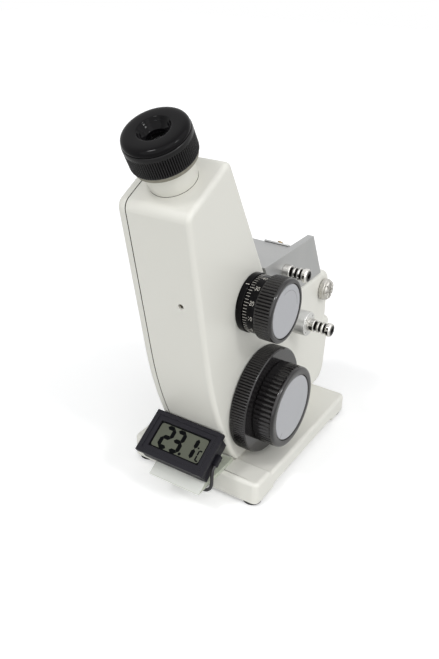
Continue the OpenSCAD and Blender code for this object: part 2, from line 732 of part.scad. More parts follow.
module dispersion_knob() color(black) at_x(disp_knob_x, -disp_y, disp_z)
  hand_knob(disp_knob_r, disp_knob_w, disp_shaft_r, disp_disc_r, disp_ribs);

module dispersion_disc() color(disc_grey) at_x(disp_face_x - disc_recess, -disp_y, disp_z)
  cylinder(r = disp_disc_r, h = disc_recess - 0.2);

module index_bush() color(brass) at_x(0, -index_y, index_z)
  tube(bush_r, index_shaft_r + run_fit, sector_x + sector_t + 4, case_right);

module index_shaft() color(steel) at_x(0, -index_y, index_z) {
  translate([0, 0, sector_x + sector_t + 2]) cylinder(r = index_shaft_r,
    h = index_face_x - 3 - sector_x - sector_t - 2);
  translate([0, 0, sector_x - 1]) cylinder(r = pinion_r, h = sector_t + 3 + over);
}

module index_flange() color(black) at_x(flange_x, -index_y, index_z) difference() {
  tube(flange_r, index_shaft_r + set_fit, 0, flange_w);
  flutes(flange_r, flange_flutes, 0.4, 1, flange_w - 1);
}

module index_knob() color(black) at_x(index_knob_x, -index_y, index_z)
  hand_knob(index_knob_r, index_knob_w, index_shaft_r, index_disc_r, index_ribs);

module index_disc() color(disc_grey) at_x(index_face_x - disc_recess, -index_y, index_z)
  cylinder(r = index_disc_r, h = disc_recess - 0.2);

// Ring sector about the pivot in the YZ plane, as points
function sector_points(r0, r1, mid, half, n = 8) = concat(
  [for (k = [0:n]) let (a = mid - half + 2 * half * k / n) [r1 * cos(a), r1 * sin(a)]],
  [for (k = [n:-1:0]) let (a = mid - half + 2 * half * k / n) [r0 * cos(a), r0 * sin(a)]]);

module arm(x0, x1, angle, r, half_w) translate([x0, -pivot_y, pivot_z]) rotate([angle, 0, 0])
  translate([0, 0, -half_w]) cube([x1 - x0, r, 2 * half_w]);

module at_pivot_plate(x0, x1, points) translate([0, -pivot_y, pivot_z]) along_x(points, x0, x1);

// Frame of the mirror: its back lies at Y = 0
module at_mirror() translate([0, -pivot_y, pivot_z]) rotate([mirror_angle, 0, 0])
  translate([0, 3 + mirror_seat_t, mirror_shift]) children();

module sector_arm() color(brass) difference() {
  union() {
    rod_x(sector_hub_r, sector_hub_x, sector_x + sector_t + 1, -pivot_y, pivot_z);
    at_pivot_plate(sector_x, sector_x + sector_t,
      sector_points(sector_r - sector_band, sector_r, mesh_angle, sector_half));
    arm(sector_x, sector_x + sector_t, mesh_angle, sector_r - 5, 3);
    at_pivot_plate(sector_x, sector_x + sector_t / 2,
      sector_points(scale_r - scale_band - 2, scale_r, scale_angle, scale_half));
    arm(sector_x, sector_x + sector_t / 2, scale_angle, scale_r - scale_band, 2.5);
    at_mirror() translate([-mirror_w / 2 - 0.5, -mirror_seat_t, -mirror_w / 2 - 0.5])
      cube([mirror_w + 1, mirror_seat_t, mirror_w + 1]);
  }
  rod_x(pivot_r + run_fit, sector_hub_x - 1, sector_x + sector_t + 2, -pivot_y, pivot_z);
}

module sector_pivot() color(steel) union() {
  rod_x(pivot_r, sector_hub_x - 1.5, inner_right + 2.9, -pivot_y, pivot_z);
  rod_x(pivot_r + 1.5, sector_hub_x - 2.5, sector_hub_x - pass_gap, -pivot_y, pivot_z);
  rod_x(pivot_r + 1.5, sector_x + sector_t + 1 + pass_gap, inner_right, -pivot_y, pivot_z);
}

module swing_mirror() color(glass) at_mirror() translate([-mirror_w / 2, 0, -mirror_w / 2])
  cube([mirror_w, mirror_t, mirror_w]);

module scale_plate() color(glass) at_pivot_plate(sector_x - scale_t, sector_x,
  sector_points(scale_r - scale_band, scale_r, scale_angle, scale_half));

module condenser_lens() color(glass) translate([condenser_x, tail_y - 3, condenser_z]) rotate([90, 0, 0])
  cylinder(r = condenser_r - set_fit, h = 2.4);

module refracting_seat() color(grey_metal) difference() {
  union() {
    box(seam_x + 1.5, seat_right, seat_y0, seat_y1, seat_floor + set_fit, seat_top - set_fit);
    box(land_x0, land_x1, land_y0, land_y1, seat_top - over, tower_z);
  }
  along_x([for (p = low_prism) p + [0, p[1] == tower_z ? over : 0]], prism_x0 - set_fit, prism_x1 + set_fit);
  box(-6, 6, seat_y0 - over, prism_y0 + over, tower_z - 12.5, tower_z - 5.5);
  for (x = [seat_right - 5, seam_x + 1.5]) rod_x(5, x, x + 5, low_nozzle_y, low_nozzle_z);
}

module refracting_prism() color(glass) along_x(inset([low_prism[3], low_prism[0], low_prism[1],
  low_prism[2]], set_fit), prism_x0, prism_x1);

module lid_seat() color(grey_metal) difference() {
  union() {
    along_x(lid_block, -lid_left, case_right - cheek_t + 0.1);
    along_x(lid_cheek, case_right - cheek_t, case_right);
    rod_x(tongue_r, -tongue_half, tongue_half, hinge_y, hinge_z);
    along_x(tongue_web, -tongue_half, tongue_half);
  }
  along_x([top_prism[0] - over * top_prism_way, top_prism[1] - [0, over], top_prism[2] + [0, over],
    top_prism[3] + over * top_prism_way], prism_x0 - set_fit, prism_x1 + set_fit);
  rod_x(hinge_r + run_fit, -tongue_half - over, tongue_half + over, hinge_y, hinge_z);
  for (x = [case_right - 5, -lid_left]) rod_x(2.5, x - (x < 0 ? over : 0), x + 5 + (x > 0 ? over : 0),
    lid_nozzle_y, lid_nozzle_z);
  at_slope() translate([shade_screw_x, shade_screw_down, -5]) cylinder(r = shade_screw_r + set_fit, h = 6);
}

module lid_prism() color(glass) along_x(inset(top_prism, set_fit), prism_x0, prism_x1);

module hinge_pin() color(steel) rod_x(hinge_r, seam_x + 0.2, case_right + lock_w - 1.8, hinge_y, hinge_z);

module lock_knob() color(nickel) at_x(case_right + pass_gap, hinge_y, hinge_z) difference() {
  rotate_extrude() polygon([[0, 0], [lock_r - 0.5, 0], [lock_r, 0.5], [lock_r, lock_w * 0.62],
    [lock_r - 0.7, lock_w * 0.68], [lock_r - 0.7, lock_w - 0.8], [lock_r - 1.5, lock_w], [0, lock_w]]);
  translate([0, 0, -over]) cylinder(r = hinge_r + run_fit, h = lock_w - 1.6 + over);
  for (a = [0, 90]) rotate([0, 0, a + 20]) translate([hinge_r + 1.5, 0, lock_w * 0.36]) rotate([0, 90, 0])
    cylinder(r = 1.1, h = lock_r);
  for (a = [0:45:135]) rotate([0, 0, a]) translate([-lock_r, -0.6, lock_w - 0.7]) cube([2 * lock_r, 1.2, 2]);
}

// Frame of the light window's slope: Y runs down it from its top edge, Z stands off it
module at_slope() translate([0, lid_top_rear, lid_z1]) rotate([-slope_angle, 0, 0]) children();

module shade_hinge() color(grey_metal) at_slope() difference() {
  union() {
    box(shade_x0, shade_x1, -leaf_lip, leaf_l, 0, leaf_t);
    for (x = [shade_x0, shade_x1 - 2.5]) {
      box(x, x + 2.5, leaf_l - over, shade_pin_down, 0, leaf_t);
      rod_x(barrel_r, x, x + 2.5, shade_pin_down, shade_pin_off);
    }
    rod_x(shade_pin_r, shade_x0, shade_x1, shade_pin_down, shade_pin_off);
  }
  translate([shade_screw_x, shade_screw_down, -over]) cylinder(r = shade_screw_r + set_fit, h = 4);
}

module shade_screw() color(brass) at_slope() translate([shade_screw_x, shade_screw_down, 0]) difference() {
  union() {
    translate([0, 0, -4]) cylinder(r = shade_screw_r, h = 4 + leaf_t);
    translate([0, 0, leaf_t]) cylinder(r = 1.8, h = 1.2);
  }
  translate([-3, -0.25, leaf_t + 0.7]) cube([6, 0.5, 1]);
}

module light_shade() color(grey_metal) at_slope() difference() {
  union() {
    rod_x(barrel_r, shade_x0 + 2.8, shade_x1 - 2.8, shade_pin_down, shade_pin_off);
    translate([0, shade_pin_down, shade_pin_off + pass_gap]) {
      translate([shade_x0 + 2.8, 0, 0]) cube([shade_x1 - shade_x0 - 5.6, 4, shade_t]);
      translate([-lid_left + 3, 3.4, 0]) cube([lid_left - 3 + shade_x1 - 0.3, shade_l, shade_t]);
    }
  }
  rod_x(shade_pin_r + run_fit, shade_x0, shade_x1, shade_pin_down, shade_pin_off);
}

module collar(side) difference() {
  rod_x(collar_r, side > 0 ? seat_right + set_fit : case_left - collar_out,
    side > 0 ? case_right + collar_out : seam_x + 1.5 - set_fit, low_nozzle_y, low_nozzle_z);
  rod_x(3, -50, 50, low_nozzle_y, low_nozzle_z);
  for (a = [45:90:315]) rod_x(0.7, side > 0 ? case_right + collar_out - 1.2 : case_left - collar_out - 1,
    side > 0 ? case_right + collar_out + 1 : case_left - collar_out + 1.2,
    low_nozzle_y + 6.3 * cos(a), low_nozzle_z + 6.3 * sin(a));
}

module nozzle_collar_right() color(grey_metal) collar(1);
module nozzle_collar_left() color(grey_metal) collar(-1);

// Hose nozzle along +Z with its shoulder at Z = 0 and a plug of the given radius and length behind it
module nozzle(plug_r, plug_l) {
  e = nozzle_l;
  rotate_extrude() polygon([[nozzle_bore, -plug_l], [plug_r - set_fit, -plug_l], [plug_r - set_fit, 0],
    [4.1, 0], [4.3, 0.3], [4.3, 4.2], [3.9, 4.6], [2.7, 4.8], [2.7, 5.6], [3.7, 6.6], [3.9, 7.4], [3.6, 8],
    [2.7, 8.2], [2.7, 8.8], [3.8, 9.7], [4.1, 10.5], [3.8, 11.2], [2.8, 11.4], [2.8, 12], [4.2, e - 3.6],
    [nozzle_r, e - 2.6], [nozzle_r, e - 1.2], [4, e - 0.3], [3.2, e], [nozzle_bore, e]]);
}

module nozzle_low_right() color(nickel)
  at_x(case_right + collar_out, low_nozzle_y, low_nozzle_z) nozzle(3, 8);
module nozzle_low_left() color(nickel) mirror([1, 0, 0])
  at_x(case_right + collar_out, low_nozzle_y, low_nozzle_z) nozzle(3, 8);
module nozzle_lid_right() color(nickel) at_x(case_right, lid_nozzle_y, lid_nozzle_z) nozzle(2.5, 4.5);
module nozzle_lid_left() color(nickel) mirror([1, 0, 0])
  at_x(lid_left, lid_nozzle_y, lid_nozzle_z) nozzle(2.5, 4.5);

module display_bracket() color(clear) difference() {
  along_x([[apex_y + 1, nose_z], [sheet_end, nose_z], [sheet_end, nose_z + sheet_t],
    [leg_inner, nose_z + sheet_t], [apex_y, nose_z] + leg_l * leg_dir + leg_down,
    [apex_y, nose_z] + leg_l * leg_dir, [apex_y, nose_z] + 0.6 * leg_dir, [apex_y + 0.3, nose_z + 0.1]],
    sheet_left, sheet_right);
  for (x = sheet_screws) translate([x, sheet_screw_y, nose_z - over])
    cylinder(r = case_screw_r + run_fit, h = sheet_t + 2 * over);
}

module bracket_screws() color(nickel) for (x = sheet_screws) translate([x, sheet_screw_y, 0]) difference() {
  union() {
    translate([0, 0, nose_z - 5]) cylinder(r = case_screw_r, h = sheet_t + 6);
    translate([0, 0, nose_z + sheet_t]) cylinder(r = 2.8, h = 2);
  }
  translate([-0.4, -4, nose_z + sheet_t + 1.2]) cube([0.8, 8, 2]);
}

module display_body() color(black) at_display() difference() {
  union() {
    translate([-body_w / 2, -body_h / 2 - 0.3, -display_d]) cube([body_w, body_h, display_d - bezel_t]);
    translate([-body_w / 2 - 0.8, -4, -display_d + 3]) cube([1, 10, 4]);
    translate([body_w / 2 - over, -3, -display_d + 2]) cube([lead_d + 0.5 + over, 7, 4]);
  }
  translate([-window_w / 2 - 0.6, -window_h / 2 - 0.6, -bezel_t - 1])
    cube([window_w + 1.2, window_h + 1.2, 3]);
}

module display_bezel() color(black) at_display() difference() {
  translate([-bezel_w / 2, -bezel_h / 2, -bezel_t]) cube([bezel_w, bezel_h, bezel_t]);
  translate([-window_w / 2, -window_h / 2, -bezel_t - over]) cube([window_w, window_h, bezel_t + 2 * over]);
  translate([-window_w / 2 - 3, -window_h / 2 - 3, -0.6]) cube([window_w + 6, window_h + 6, over]);
}

module display_window() color([0.42, 0.44, 0.38]) at_display()
  translate([-window_w / 2 + 0.05, -window_h / 2 + 0.05, -bezel_t - 1])
    cube([window_w - 0.1, window_h - 0.1, 2.4]);

module lead_grommet() color(black) translate([lead_hole[0], front_y, lead_hole[1]])
  rotate([90, 0, 0]) {
  translate([0, 0, -grommet_l]) cylinder(r = grommet_r - set_fit, h = grommet_l);
  difference() {
    cylinder(r = grommet_r + 1, h = 1.4);
    translate([0, 0, 0.4]) cylinder(r = lead_d / 2 + set_fit, h = 2);
  }
}

// Tube of the given radius swept along the points
module swept(points, r, sides) {
  n = len(points);
  function way(i) = unit(points[min(i + 1, n - 1)] - points[max(i - 1, 0)]);
  function side_of(i) = unit(cross(way(i), [0.3, 0.1, 0.95]));
  rings = [for (i = [0:n - 1]) for (k = [0:sides - 1]) let (u = side_of(i), v = cross(way(i), u))
    points[i] + r * (u * cos(360 * k / sides) + v * sin(360 * k / sides))];
  polyhedron(rings, concat([[for (k = [0:sides - 1]) k]], [[for (k = [sides - 1:-1:0]) (n - 1) * sides + k]],
    [for (i = [0:n - 2]) for (k = [0:sides - 1]) let (a = i * sides, b = a + sides, m = (k + 1) % sides)
      [a + k, b + k, b + m, a + m]]));
}

module probe_lead() color(black) swept(lead_points, lead_d / 2, 8);

base_plate();
rubber_feet();
base_screws();
housing();
side_cover();
cover_screws();
calibration_screw();
eyepiece_neck();
stop_ring();
focus_ring();
eyecup();
lens_cell();
eye_lens();
field_lens();
reticle();
telescope_tube();
objective_lens();
compensator_cage();
amici_cell_upper();
amici_cell_lower();
amici_prism_upper();
amici_prism_lower();
dispersion_shaft();
index_ring();
dispersion_scale();
dispersion_knob();
dispersion_disc();
index_bush();
index_shaft();
index_flange();
index_knob();
index_disc();
sector_arm();
sector_pivot();
swing_mirror();
scale_plate();
condenser_lens();
refracting_seat();
refracting_prism();
lid_seat();
lid_prism();
hinge_pin();
lock_knob();
shade_hinge();
shade_screw();
light_shade();
nozzle_collar_right();
nozzle_collar_left();
nozzle_low_right();
nozzle_low_left();
nozzle_lid_right();
nozzle_lid_left();
display_bracket();
bracket_screws();
display_body();
display_bezel();
display_window();
lead_grommet();
probe_lead();
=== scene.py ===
import math

import bmesh
import bpy
from mathutils import Matrix, Vector


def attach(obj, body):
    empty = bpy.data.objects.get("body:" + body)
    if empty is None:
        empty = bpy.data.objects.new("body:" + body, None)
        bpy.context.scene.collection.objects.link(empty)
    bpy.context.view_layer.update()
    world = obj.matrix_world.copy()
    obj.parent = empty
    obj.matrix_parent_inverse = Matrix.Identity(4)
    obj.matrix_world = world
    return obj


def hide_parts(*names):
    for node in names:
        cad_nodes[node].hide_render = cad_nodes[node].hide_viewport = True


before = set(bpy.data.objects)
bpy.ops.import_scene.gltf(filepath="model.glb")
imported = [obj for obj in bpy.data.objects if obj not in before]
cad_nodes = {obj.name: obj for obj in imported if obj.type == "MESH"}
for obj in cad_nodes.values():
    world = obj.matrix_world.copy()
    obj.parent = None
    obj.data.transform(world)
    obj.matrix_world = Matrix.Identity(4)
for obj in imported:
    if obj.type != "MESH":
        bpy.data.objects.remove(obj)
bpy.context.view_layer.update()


# Camera
# It stands in front and to the right, a little above the eyepiece, as the photograph was taken.

camera_spot = (0.20748, -0.36264, 0.30482)
camera_turn, camera_dip, camera_roll = 0.565, 0.489, 0.015

camera = bpy.data.objects.new("camera", bpy.data.cameras.new("camera"))
camera.data.sensor_width = 36
camera.data.lens = 39.04
camera.data.clip_start = 0.01
camera.matrix_world = (Matrix.Translation(camera_spot) @ Matrix.Rotation(camera_turn, 4, "Z")
                       @ Matrix.Rotation(math.pi / 2 - camera_dip, 4, "X")
                       @ Matrix.Rotation(camera_roll, 4, "Z"))
bpy.context.scene.collection.objects.link(camera)
bpy.context.scene.camera = camera


# Thermometer lead
# A limp black vinyl lead, 2.2 mm thick, from the block on the display's right side down in front of the
# bracket and into the grommet in the front of the base. 42.3 mm of it lies outside.

lead_route = [(24.4, -77.05, 31.6), (24.4, -78.3, 30.8), (24.5, -79.4, 29.8), (24.7, -80.1, 28.4),
              (24.8, -80.5, 26.6), (24.9, -80.7, 24.5), (24.9, -80.9, 22.4), (24.9, -81.1, 20.4),
              (24.6, -81.5, 18.8), (23.8, -81.8, 17.3), (22.5, -82.1, 16.2), (20.9, -82.2, 15.6),
              (19.2, -81.9, 15.2), (17.2, -81, 14.5), (15.3, -79.5, 13.5), (13.7, -77.5, 12.3),
              (12.4, -75, 11), (11.5, -72.3, 9.8), (11.1, -69.6, 8.9), (11, -67.4, 8.4), (11, -65.4, 8.3)]


def linear(code):
    """The linear colour of an sRGB colour written as six hex digits."""
    parts = (int(code[i:i + 2], 16) / 255 for i in (0, 2, 4))
    return tuple(p / 12.92 if p <= 0.04045 else ((p + 0.055) / 1.055) ** 2.4 for p in parts) + (1,)


def add(material, kind, values={}, links={}, **settings):
    """Adds a shader node with its inputs' values, the outputs that feed them and its settings."""
    node = material.node_tree.nodes.new("ShaderNode" + kind)
    for name, value in settings.items():
        setattr(node, name, value)
    for name, value in values.items():
        node.inputs[name].default_value = value
    for name, output in links.items():
        material.node_tree.links.new(output, node.inputs[name])
    return node.outputs


def new_finish(name):
    """An empty material with its object coordinates in metres."""
    material = bpy.data.materials.new(name)
    material.use_nodes = True
    material.node_tree.nodes.clear()
    return material, add(material, "TexCoord")["Object"]


def patch(width):
    """The scale of a noise whose patches are this wide in millimetres."""
    return 1000 / width


# Black vinyl: dark, half matt, with the faint waviness of an extruded sheath.
vinyl, place = new_finish("black_vinyl")
waves = add(vinyl, "TexNoise", {"Scale": patch(1.43), "Detail": 3}, {"Vector": place})
height = add(vinyl, "Bump", {"Strength": 0.15, "Distance": 0.0001}, {"Height": waves["Fac"]})
surface = add(vinyl, "BsdfPrincipled", {"Base Color": linear("2a282b"), "Roughness": 0.42},
              {"Normal": height["Normal"]})
add(vinyl, "OutputMaterial", links={"Surface": surface["BSDF"]})

sheath = bpy.data.curves.new("lead_sheath", "CURVE")
sheath.dimensions = "3D"
sheath.bevel_depth = 0.0011
sheath.bevel_resolution = 4
sheath.use_fill_caps = True
spline = sheath.splines.new("BEZIER")
spline.resolution_u = 5
spline.bezier_points.add(len(lead_route) - 1)
for point, spot in zip(spline.bezier_points, lead_route):
    point.co = Vector(spot) / 1000
    point.handle_left_type = point.handle_right_type = "AUTO"
sheath.materials.append(vinyl)
lead = bpy.data.objects.new("lead_sheath", sheath)
bpy.context.scene.collection.objects.link(lead)
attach(lead, "stand")
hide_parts("probe_lead")


# Floor and light
# A plain white table that keeps the object's shadow, and an even pale sky. Two very wide lamps stand in
# front and at the right; two small ones give the narrow highlights on the polished black parts.

# White table paper: matt, with a faint glow of its own, so that the camera sees it as pure white.
# Inputs 6 and 7 of a Mix are its two colours, here and below, and its output 2 is the mixed one.
white_table, place = new_finish("white_table")
seen = add(white_table, "LightPath")
either = add(white_table, "Math", {}, {0: seen["Is Camera Ray"], 1: seen["Is Glossy Ray"]},
             operation="MAXIMUM")
any_of = add(white_table, "Math", {}, {0: either[0], 1: seen["Is Transmission Ray"]}, operation="MAXIMUM")
tone = add(white_table, "Mix", {6: linear("d8d8d6"), 7: linear("ffffff")}, {0: seen["Is Camera Ray"]},
           data_type="RGBA")
paper = add(white_table, "BsdfDiffuse", {}, {"Color": tone[2]})
share = add(white_table, "Math", {1: 0.19}, {0: any_of[0]}, operation="MULTIPLY")
shine = add(white_table, "Emission", {"Color": linear("ffffff")}, {"Strength": share[0]})
surface = add(white_table, "AddShader", {}, {0: paper["BSDF"], 1: shine["Emission"]})
add(white_table, "OutputMaterial", links={"Surface": surface["Shader"]})

bm = bmesh.new()
bmesh.ops.create_grid(bm, x_segments=1, y_segments=1, size=3)
table_mesh = bpy.data.meshes.new("table")
bm.to_mesh(table_mesh)
bm.free()
table_mesh.materials.append(white_table)
table = bpy.data.objects.new("table", table_mesh)
bpy.context.scene.collection.objects.link(table)

world = bpy.data.worlds.new("studio")
bpy.context.scene.world = world
world.use_nodes = True
world.node_tree.nodes.clear()
seen = add(world, "LightPath")
either = add(world, "Math", {}, {0: seen["Is Camera Ray"], 1: seen["Is Glossy Ray"]}, operation="MAXIMUM")
any_of = add(world, "Math", {}, {0: either[0], 1: seen["Is Transmission Ray"]}, operation="MAXIMUM")
tone = add(world, "Mix", {6: linear("a6a7a8"), 7: linear("ffffff")}, {0: any_of[0]}, data_type="RGBA")
sky = add(world, "Background", {"Strength": 1.0}, {"Color": tone[2]})
add(world, "OutputWorld", links={"Surface": sky["Background"]})

# Name, degrees to the right of the front, degrees above the table, strength and width in degrees.
for name, side, rise, strength, width in [("front_lamp", 15, 32, 0.9, 80), ("left_core", -26, 55, 0.6, 10),
                                          ("right_lamp", 85, 38, 0.85, 80), ("right_core", 78, 40, 0.5, 10)]:
    lamp = bpy.data.lights.new(name, "SUN")
    lamp.energy = strength
    lamp.angle = math.radians(width)
    holder = bpy.data.objects.new(name, lamp)
    holder.rotation_euler = (math.radians(90 - rise), 0, math.radians(side))
    bpy.context.scene.collection.objects.link(holder)

bpy.context.scene.view_settings.view_transform = "Standard"


# Housing
# The case casting: a leaning slab with the prism tower at its rear, 39 mm wide, of aluminium alloy with
# 4 mm walls, sprayed with ivory enamel. The edges of its right side are rounded by 2.8 mm.

# Ivory enamel: warm off-white gloss with an orange peel, and a trace of tone across the casting.
ivory, place = new_finish("ivory_enamel")
drift = add(ivory, "TexNoise", {"Scale": patch(71.4), "Detail": 2}, {"Vector": place})
tone = add(ivory, "Mix", {6: linear("e1e0d8"), 7: linear("e5e4dd")}, {0: drift["Fac"]}, data_type="RGBA")
peel = add(ivory, "TexNoise", {"Scale": patch(1.11), "Detail": 2, "Roughness": 0.4}, {"Vector": place})
height = add(ivory, "Bump", {"Strength": 0.1, "Distance": 0.0001}, {"Height": peel["Fac"]})
gloss = add(ivory, "MapRange", {"To Min": 0.3, "To Max": 0.4}, {"Value": drift["Fac"]})
surface = add(ivory, "BsdfPrincipled", {}, {"Base Color": tone[2], "Roughness": gloss["Result"],
                                            "Normal": height["Normal"]})
add(ivory, "OutputMaterial", links={"Surface": surface["BSDF"]})


def copy_of(node):
    """A mesh in millimetres from a CAD node, with its doubles merged and its flat faces whole again."""
    bm = bmesh.new()
    bm.from_mesh(cad_nodes[node].data)
    bmesh.ops.scale(bm, vec=(1000, 1000, 1000), verts=bm.verts)
    bmesh.ops.remove_doubles(bm, verts=bm.verts, dist=0.001)
    bmesh.ops.dissolve_limit(bm, angle_limit=math.radians(0.4), verts=bm.verts, edges=bm.edges,
                             use_dissolve_boundaries=False, delimit=set())
    return bm


def sharp(bm, chosen, angle=25):
    """The outer edges of a mesh that turn by more than the angle and whose middle is chosen."""
    return [edge for edge in bm.edges if edge.calc_face_angle_signed(0) > math.radians(angle)
            and chosen((edge.verts[0].co + edge.verts[1].co) / 2)]


def soften(bm, edges, width, segments=3):
    """Rounds edges by a width in millimetres."""
    bmesh.ops.bevel(bm, geom=edges, offset=width, offset_type="OFFSET", segments=segments, profile=0.5,
                    affect="EDGES", material=-1, clamp_overlap=False)


def fit(name, bm, finish, body, stands_for, smooth=30):
    """Makes a mesh in millimetres the piece that stands for CAD nodes, and lets it ride on their body.

    It is shaded smooth, apart from edges that turn by more than the angle, are marked as seams, or lie
    between a large flat and a small face.
    """
    for face in bm.faces:
        face.smooth = True
    for edge in bm.edges:
        areas = sorted(face.calc_area() for face in edge.link_faces)
        plain = len(areas) == 2 and areas[1] > 80 and areas[0] < 0.2 * areas[1]
        edge.smooth = not (edge.seam or plain or edge.calc_face_angle(0) > math.radians(smooth))
    bmesh.ops.scale(bm, vec=(0.001, 0.001, 0.001), verts=bm.verts)
    mesh = bpy.data.meshes.new(name)
    bm.to_mesh(mesh)
    bm.free()
    mesh.materials.append(finish)
    piece = bpy.data.objects.new(name, mesh)
    bpy.context.scene.collection.objects.link(piece)
    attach(piece, body)
    if stands_for:
        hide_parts(*stands_for)
    return piece


case_right = 22.5
case_rounding = 2.8
disp_y, disp_z = -37.3, 124.7
index_y, index_z = -24.8, 53.3
collar_y, collar_z = 21, 88
pin_y, pin_z = 63.8, 94.5
side_holes = [(disp_y, disp_z, 4), (index_y, index_z, 7.5), (collar_y, collar_z, 8.2), (pin_y, pin_z, 3)]


def away_from_holes(spot):
    """Whether a spot lies outside the rims of the holes in the side, given as (Y, Z, radius)."""
    return all(math.hypot(spot.y - y, spot.z - z) > radius + 0.6 for y, z, radius in side_holes)


def on_side(level):
    """A test for the spots at one X that lie outside the rims of the holes."""
    return lambda spot: abs(spot.x - level) < 0.01 and away_from_holes(spot)


bm = copy_of("housing")
soften(bm, sharp(bm, on_side(case_right)), case_rounding, 6)
fit("case_casting", bm, ivory, "stand", ["housing"])


# Side cover
# The left cover, a 6 mm plate of the same outline that closes the case; the floor of the seam round it is
# painted dark as shade.
# Seven countersunk screws hold it, and the left water collar passes through it.

cover_left = -22.5
seam = -17.1
seam_width = 0.6
screw_spots = [(-90, 183), (-59.8, 196), (-75, 104), (-34.5, 150), (-40, 26), (66, 30), (66, 82)]
side_holes = [(y, z, 3.05) for y, z in screw_spots] + [(collar_y, collar_z, 8.2)]

# Painted shade in the seam: brown-black, dull and uneven, standing in for the gap's shadow on the groove's
# floor.
seam_shade, place = new_finish("painted_seam_shade")
specks = add(seam_shade, "TexNoise", {"Scale": patch(1.11), "Detail": 3}, {"Vector": place})
tone = add(seam_shade, "Mix", {6: linear("2b2823"), 7: linear("4a463d")}, {0: specks["Fac"]}, data_type="RGBA")
surface = add(seam_shade, "BsdfPrincipled", {"Roughness": 0.8}, {"Base Color": tone[2]})
add(seam_shade, "OutputMaterial", links={"Surface": surface["BSDF"]})


def refill(bm, level):
    """Fills the flat at one X again between its rims, after its outer edge was rounded."""
    flat = [face for face in bm.faces if abs(face.calc_center_median().x - level) < 0.005]
    bmesh.ops.delete(bm, geom=flat, context="FACES_ONLY")
    bmesh.ops.delete(bm, geom=[edge for edge in bm.edges if not edge.link_faces], context="EDGES")
    rims = [edge for edge in bm.edges if edge.is_boundary]
    for edge in rims:
        edge.seam = True
    bmesh.ops.triangle_fill(bm, edges=rims, use_beauty=True, normal=(math.copysign(1, level), 0, 0))
    bmesh.ops.recalc_face_normals(bm, faces=bm.faces)


bm = copy_of("side_cover")
# The faces on the groove's floor take the painted seam shade, the material in slot 1.
for face in bm.faces:
    if -0.02 < face.calc_center_median().x - seam < seam_width - 0.02:
        face.material_index = 1
soften(bm, sharp(bm, on_side(cover_left)), case_rounding, 6)
refill(bm, cover_left)
soften(bm, sharp(bm, on_side(seam)), 0.15, 2)
cover = fit("cover_plate", bm, ivory, "stand", ["side_cover"])
cover.data.materials.append(seam_shade)

# Bright nickel: nearly mirror smooth plating, a touch warm, a little cloudier here and there.
nickel, place = new_finish("bright_nickel")
cloud = add(nickel, "TexNoise", {"Scale": patch(2), "Detail": 2}, {"Vector": place})
gloss = add(nickel, "MapRange", {"To Min": 0.1, "To Max": 0.2}, {"Value": cloud["Fac"]})
surface = add(nickel, "BsdfPrincipled", {"Base Color": linear("d6d2ca"), "Metallic": 1.0},
              {"Roughness": gloss["Result"]})
add(nickel, "OutputMaterial", links={"Surface": surface["BSDF"]})


def dress(finish, *names):
    """Gives CAD nodes whose shape is right their finish."""
    for name in names:
        for holder in cad_nodes[name].material_slots:
            holder.material = finish


dress(nickel, "cover_screws")


# Base
# The foot of the stand: a heavy cast plate with a raised nose in front, enamelled like the case.
# Four screws from below hold the case on it, and it stands on four rubber feet.

plate_top = 15
nose_step_y = -46.6


def on_top_rim(spot):
    """Whether a spot lies on the outer top edges of the base or on the step behind its nose."""
    outside = abs(spot.x) > 43 or abs(spot.y) > 60 or abs(spot.y - nose_step_y) < 0.01
    return spot.z > plate_top - 0.1 and outside


bm = copy_of("base_plate")
soften(bm, sharp(bm, on_top_rim, 40), 2.5, 6)
fit("base_casting", bm, ivory, "stand", ["base_plate"])

# Turned steel: grey and rather dull, with fine differences in gloss, drawn coarser than life.
steel, place = new_finish("turned_steel")
cloud = add(steel, "TexNoise", {"Scale": patch(0.667), "Detail": 2}, {"Vector": place})
gloss = add(steel, "MapRange", {"To Min": 0.28, "To Max": 0.45}, {"Value": cloud["Fac"]})
surface = add(steel, "BsdfPrincipled", {"Base Color": linear("b4b6ba"), "Metallic": 1.0},
              {"Roughness": gloss["Result"]})
add(steel, "OutputMaterial", links={"Surface": surface["BSDF"]})
dress(steel, "base_screws", "compensator_cage", "dispersion_shaft", "index_shaft", "sector_pivot",
      "hinge_pin")

# Aged steel: brown-grey and dull, at the bottom of its hole.
aged_steel, place = new_finish("aged_steel")
stain = add(aged_steel, "TexNoise", {"Scale": patch(1.67), "Detail": 3}, {"Vector": place})
tone = add(aged_steel, "Mix", {6: linear("4b4136"), 7: linear("7d7262")}, {0: stain["Fac"]}, data_type="RGBA")
surface = add(aged_steel, "BsdfPrincipled", {"Metallic": 1.0, "Roughness": 0.45}, {"Base Color": tone[2]})
add(aged_steel, "OutputMaterial", links={"Surface": surface["BSDF"]})
dress(aged_steel, "calibration_screw")

# Moulded rubber: matt black with a fine grain, drawn coarser than life.
rubber, place = new_finish("black_rubber")
grain = add(rubber, "TexNoise", {"Scale": patch(0.4), "Detail": 3}, {"Vector": place})
height = add(rubber, "Bump", {"Strength": 0.3, "Distance": 0.00008}, {"Height": grain["Fac"]})
surface = add(rubber, "BsdfPrincipled", {"Base Color": linear("232223"), "Roughness": 0.75},
              {"Normal": height["Normal"]})
add(rubber, "OutputMaterial", links={"Surface": surface["BSDF"]})

bm = copy_of("rubber_feet")
soften(bm, sharp(bm, lambda spot: spot.z < 0.01, 60), 0.5, 3)
fit("moulded_feet", bm, rubber, "stand", ["rubber_feet"])


# Eyepiece neck and stop ring
# The neck is an enamelled tube pressed into the top of the case, with a line of painted shade round its foot.
# A thin turned metal ring on it stops the focusing ring.

telescope_tilt = 28.6
at_eye = Matrix.Translation((0, -80.1, 203.2)) @ Matrix.Rotation(math.radians(telescope_tilt), 4, "X")


def everywhere(spot):
    """A test that chooses every spot."""
    return True


